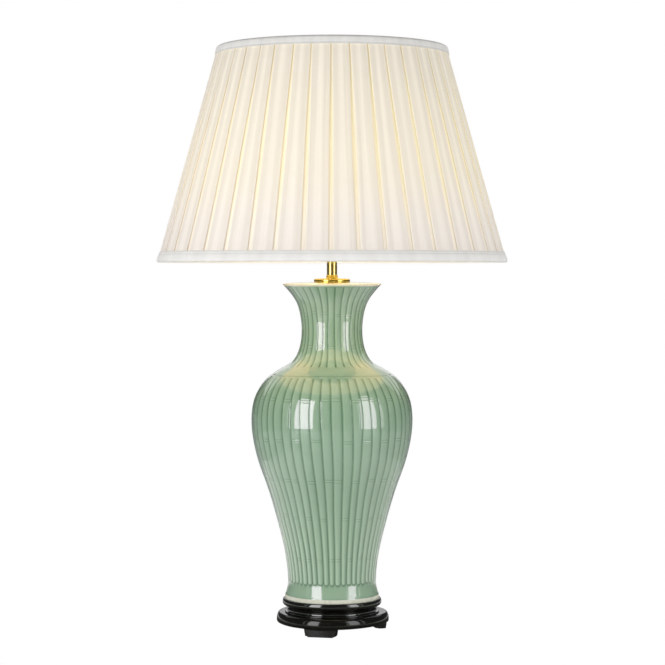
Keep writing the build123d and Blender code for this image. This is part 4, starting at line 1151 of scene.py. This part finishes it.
# =====================================================================
# floor, light and camera
# =====================================================================
floor_mesh = bpy.data.meshes.new("floor")
ring_pts = [(14 * math.cos(a), 14 * math.sin(a), 0.0) for a in np.linspace(0, TAU, 65)[:-1]]
floor_mesh.from_pydata(ring_pts, [], [list(range(64))])
def floor_material():
    """White, with a painted shadow: seen in reflections, the floor close to the lamp turns dark."""
    m = Mat("floor_white", Roughness=0.8, Specular_IOR_Level=0.1)
    n = m.noise(3.0, 3)
    m.set(Base_Color=m.mix(n, (0.86, 0.86, 0.86), (0.84, 0.84, 0.84)))
    t = m.t
    painted_shadow_black = m.node("Emission", inputs={"Color": (0.02, 0.02, 0.02, 1)}).outputs[0]
    path = m.node("LightPath").outputs["Is Glossy Ray"]
    rad = m.node("VectorMath", operation="LENGTH", inputs={0: m.co()}).outputs["Value"]
    # painted shadow: the floor within about 0.26 m of the lamp is dark to glossy rays
    painted_floor_shadow = m.range(rad, 0.16, 0.26, 0.85, 0.0, "SMOOTHSTEP")
    mix = m.node("MixShader", inputs={0: m.math("MULTIPLY", path, painted_floor_shadow), 1: m.b.outputs[0], 2: painted_shadow_black})
    t.links.new(mix.outputs[0], m.out.inputs[0])
    return m.m


floor_mesh.materials.append(floor_material())
floor = bpy.data.objects.new("floor", floor_mesh)
bpy.context.scene.collection.objects.link(floor)
floor.visible_camera = False


def panel(name, azimuth, distance, z, width, height, radiance, color=(1, 1, 1), tilt=0.0, spread=180):
    """A rectangular area light facing the lamp's middle. Azimuth 0 is straight in front (-Y), + to the right."""
    li = bpy.data.lights.new(name, "AREA")
    li.shape = "RECTANGLE"
    li.size, li.size_y = width, height
    li.energy = radiance * math.pi * width * height
    li.color = color
    ob = bpy.data.objects.new(name, li)
    bpy.context.scene.collection.objects.link(ob)
    a = math.radians(azimuth)
    ob.location = (distance * math.sin(a), -distance * math.cos(a), z)
    to = Vector((0, 0, 0.30 + tilt)) - Vector(ob.location)
    if tilt == 0.0:
        to.z = 0
    ob.rotation_euler = to.to_track_quat("-Z", "Y").to_euler()
    ob.visible_camera = False
    return ob


def softbox(name, azimuth, z, width, height, radiance, mirrored=None):
    """One neutral light for matt surfaces and its twin, seen only in the glaze, brass and lacquer."""
    a = panel(name, azimuth, 1.6, z, width, height, radiance)
    a.visible_glossy = False
    b = panel(name + "_mirrored", azimuth, 1.55, z, width * 0.97, height * 0.97, mirrored or radiance, (1.0, 0.86, 1.0))
    b.visible_diffuse = False


softbox("softbox_left", -40.0, 0.74, 0.74, 1.42, 5.2, 6.0)
softbox("softbox_right", 53.2, 0.74, 0.60, 1.42, 4.5, 4.7)
for az, power in ((-105.0, 1.35), (105.0, 1.3)):
    side_light = panel("side_%d" % az, az, 1.6, 0.74, 0.60, 1.42, power)
    side_light.visible_glossy = False
panel("strip_left", -64.0, 1.6, 0.70, 0.05, 1.20, 2.4)
panel("strip_right_a", 39.0, 1.6, 0.70, 0.045, 1.25, 3.2)
panel("strip_right_b", 74.0, 1.6, 0.70, 0.05, 1.25, 3.2)

# a pale wall far behind, seen only in the shoulder's glaze and the polished top of the stand
wall = panel("wall_behind", 180.0, 6.0, 2.15, 3.20, 2.90, 0.85)
wall.visible_diffuse = False

# white cards on the table to either side, seen only as reflections in the glaze
for side in (-1, 1):
    card = panel("card_%s" % ("left" if side < 0 else "right"), 90.0 * side, 0.40, 0.004, 0.95, 0.40, 0.50 if side < 0 else 0.33)
    card.rotation_euler = (math.pi, 0.0, math.pi / 2)
    card.location.y = 0.10
    card.visible_diffuse = False
    # and one behind, high up, that lights the edge of the shoulder
    back = panel("rim_%s" % ("left" if side < 0 else "right"), 0.0, 1.0, 1.20, 1.10, 0.80, 0.70)
    back.location = (0.85 * side, 1.2, 1.20)
    back.rotation_euler = (Vector((0, 0, 0.33)) - Vector(back.location)).to_track_quat("-Z", "Y").to_euler()
    back.visible_diffuse = False

bulb = bpy.data.lights.new("bulb_light", "POINT")
bulb.energy = 0.62
bulb.color = (1.0, 0.89, 0.70)
bulb.shadow_soft_size = 0.03
bulb_ob = bpy.data.objects.new("bulb_light", bulb)
bulb_ob.location = (0, 0, 0.607)
bpy.context.scene.collection.objects.link(bulb_ob)
for name in ("bulb_globe", "bulb_neck"):
    NODES[name].visible_shadow = False

world = bpy.data.worlds.new("studio")
bpy.context.scene.world = world
world.use_nodes = True
wt = world.node_tree
wt.nodes.clear()
w_out = wt.nodes.new("ShaderNodeOutputWorld")
w_mix = wt.nodes.new("ShaderNodeMixShader")
w_dim = wt.nodes.new("ShaderNodeBackground")
w_cam = wt.nodes.new("ShaderNodeBackground")
w_path = wt.nodes.new("ShaderNodeLightPath")
w_dim.inputs[0].default_value = (0.93, 0.96, 1.0, 1)
w_dim.inputs[1].default_value = 0.20
w_gloss = wt.nodes.new("ShaderNodeBackground")          # what polished surfaces see of the room
w_gloss.inputs[0].default_value = (0.93, 0.96, 1.0, 1)
w_gloss.inputs[1].default_value = 0.07
w_mix2 = wt.nodes.new("ShaderNodeMixShader")
w_cam.inputs[0].default_value = (1, 1, 1, 1)
w_cam.inputs[1].default_value = 1.0
wt.links.new(w_path.outputs["Is Camera Ray"], w_mix.inputs[0])
wt.links.new(w_path.outputs["Is Glossy Ray"], w_mix2.inputs[0])
wt.links.new(w_dim.outputs[0], w_mix2.inputs[1])
wt.links.new(w_gloss.outputs[0], w_mix2.inputs[2])
wt.links.new(w_mix2.outputs[0], w_mix.inputs[1])
wt.links.new(w_cam.outputs[0], w_mix.inputs[2])
wt.links.new(w_mix.outputs[0], w_out.inputs[0])

cam_data = bpy.data.cameras.new("camera")
cam_data.sensor_width = 36.0
cam_data.lens = 2112.0 / 665.0 * 36.0
cam_data.clip_start, cam_data.clip_end = 0.05, 60
cam = bpy.data.objects.new("camera", cam_data)
cam.location = (0.00065, -2.759, 0.4679)
cam.rotation_euler = (math.radians(90 - 1.64), 0, 0)
bpy.context.scene.collection.objects.link(cam)
bpy.context.scene.camera = cam
bpy.context.scene.view_settings.view_transform = "Standard"
bpy.context.scene.view_settings.look = "None"
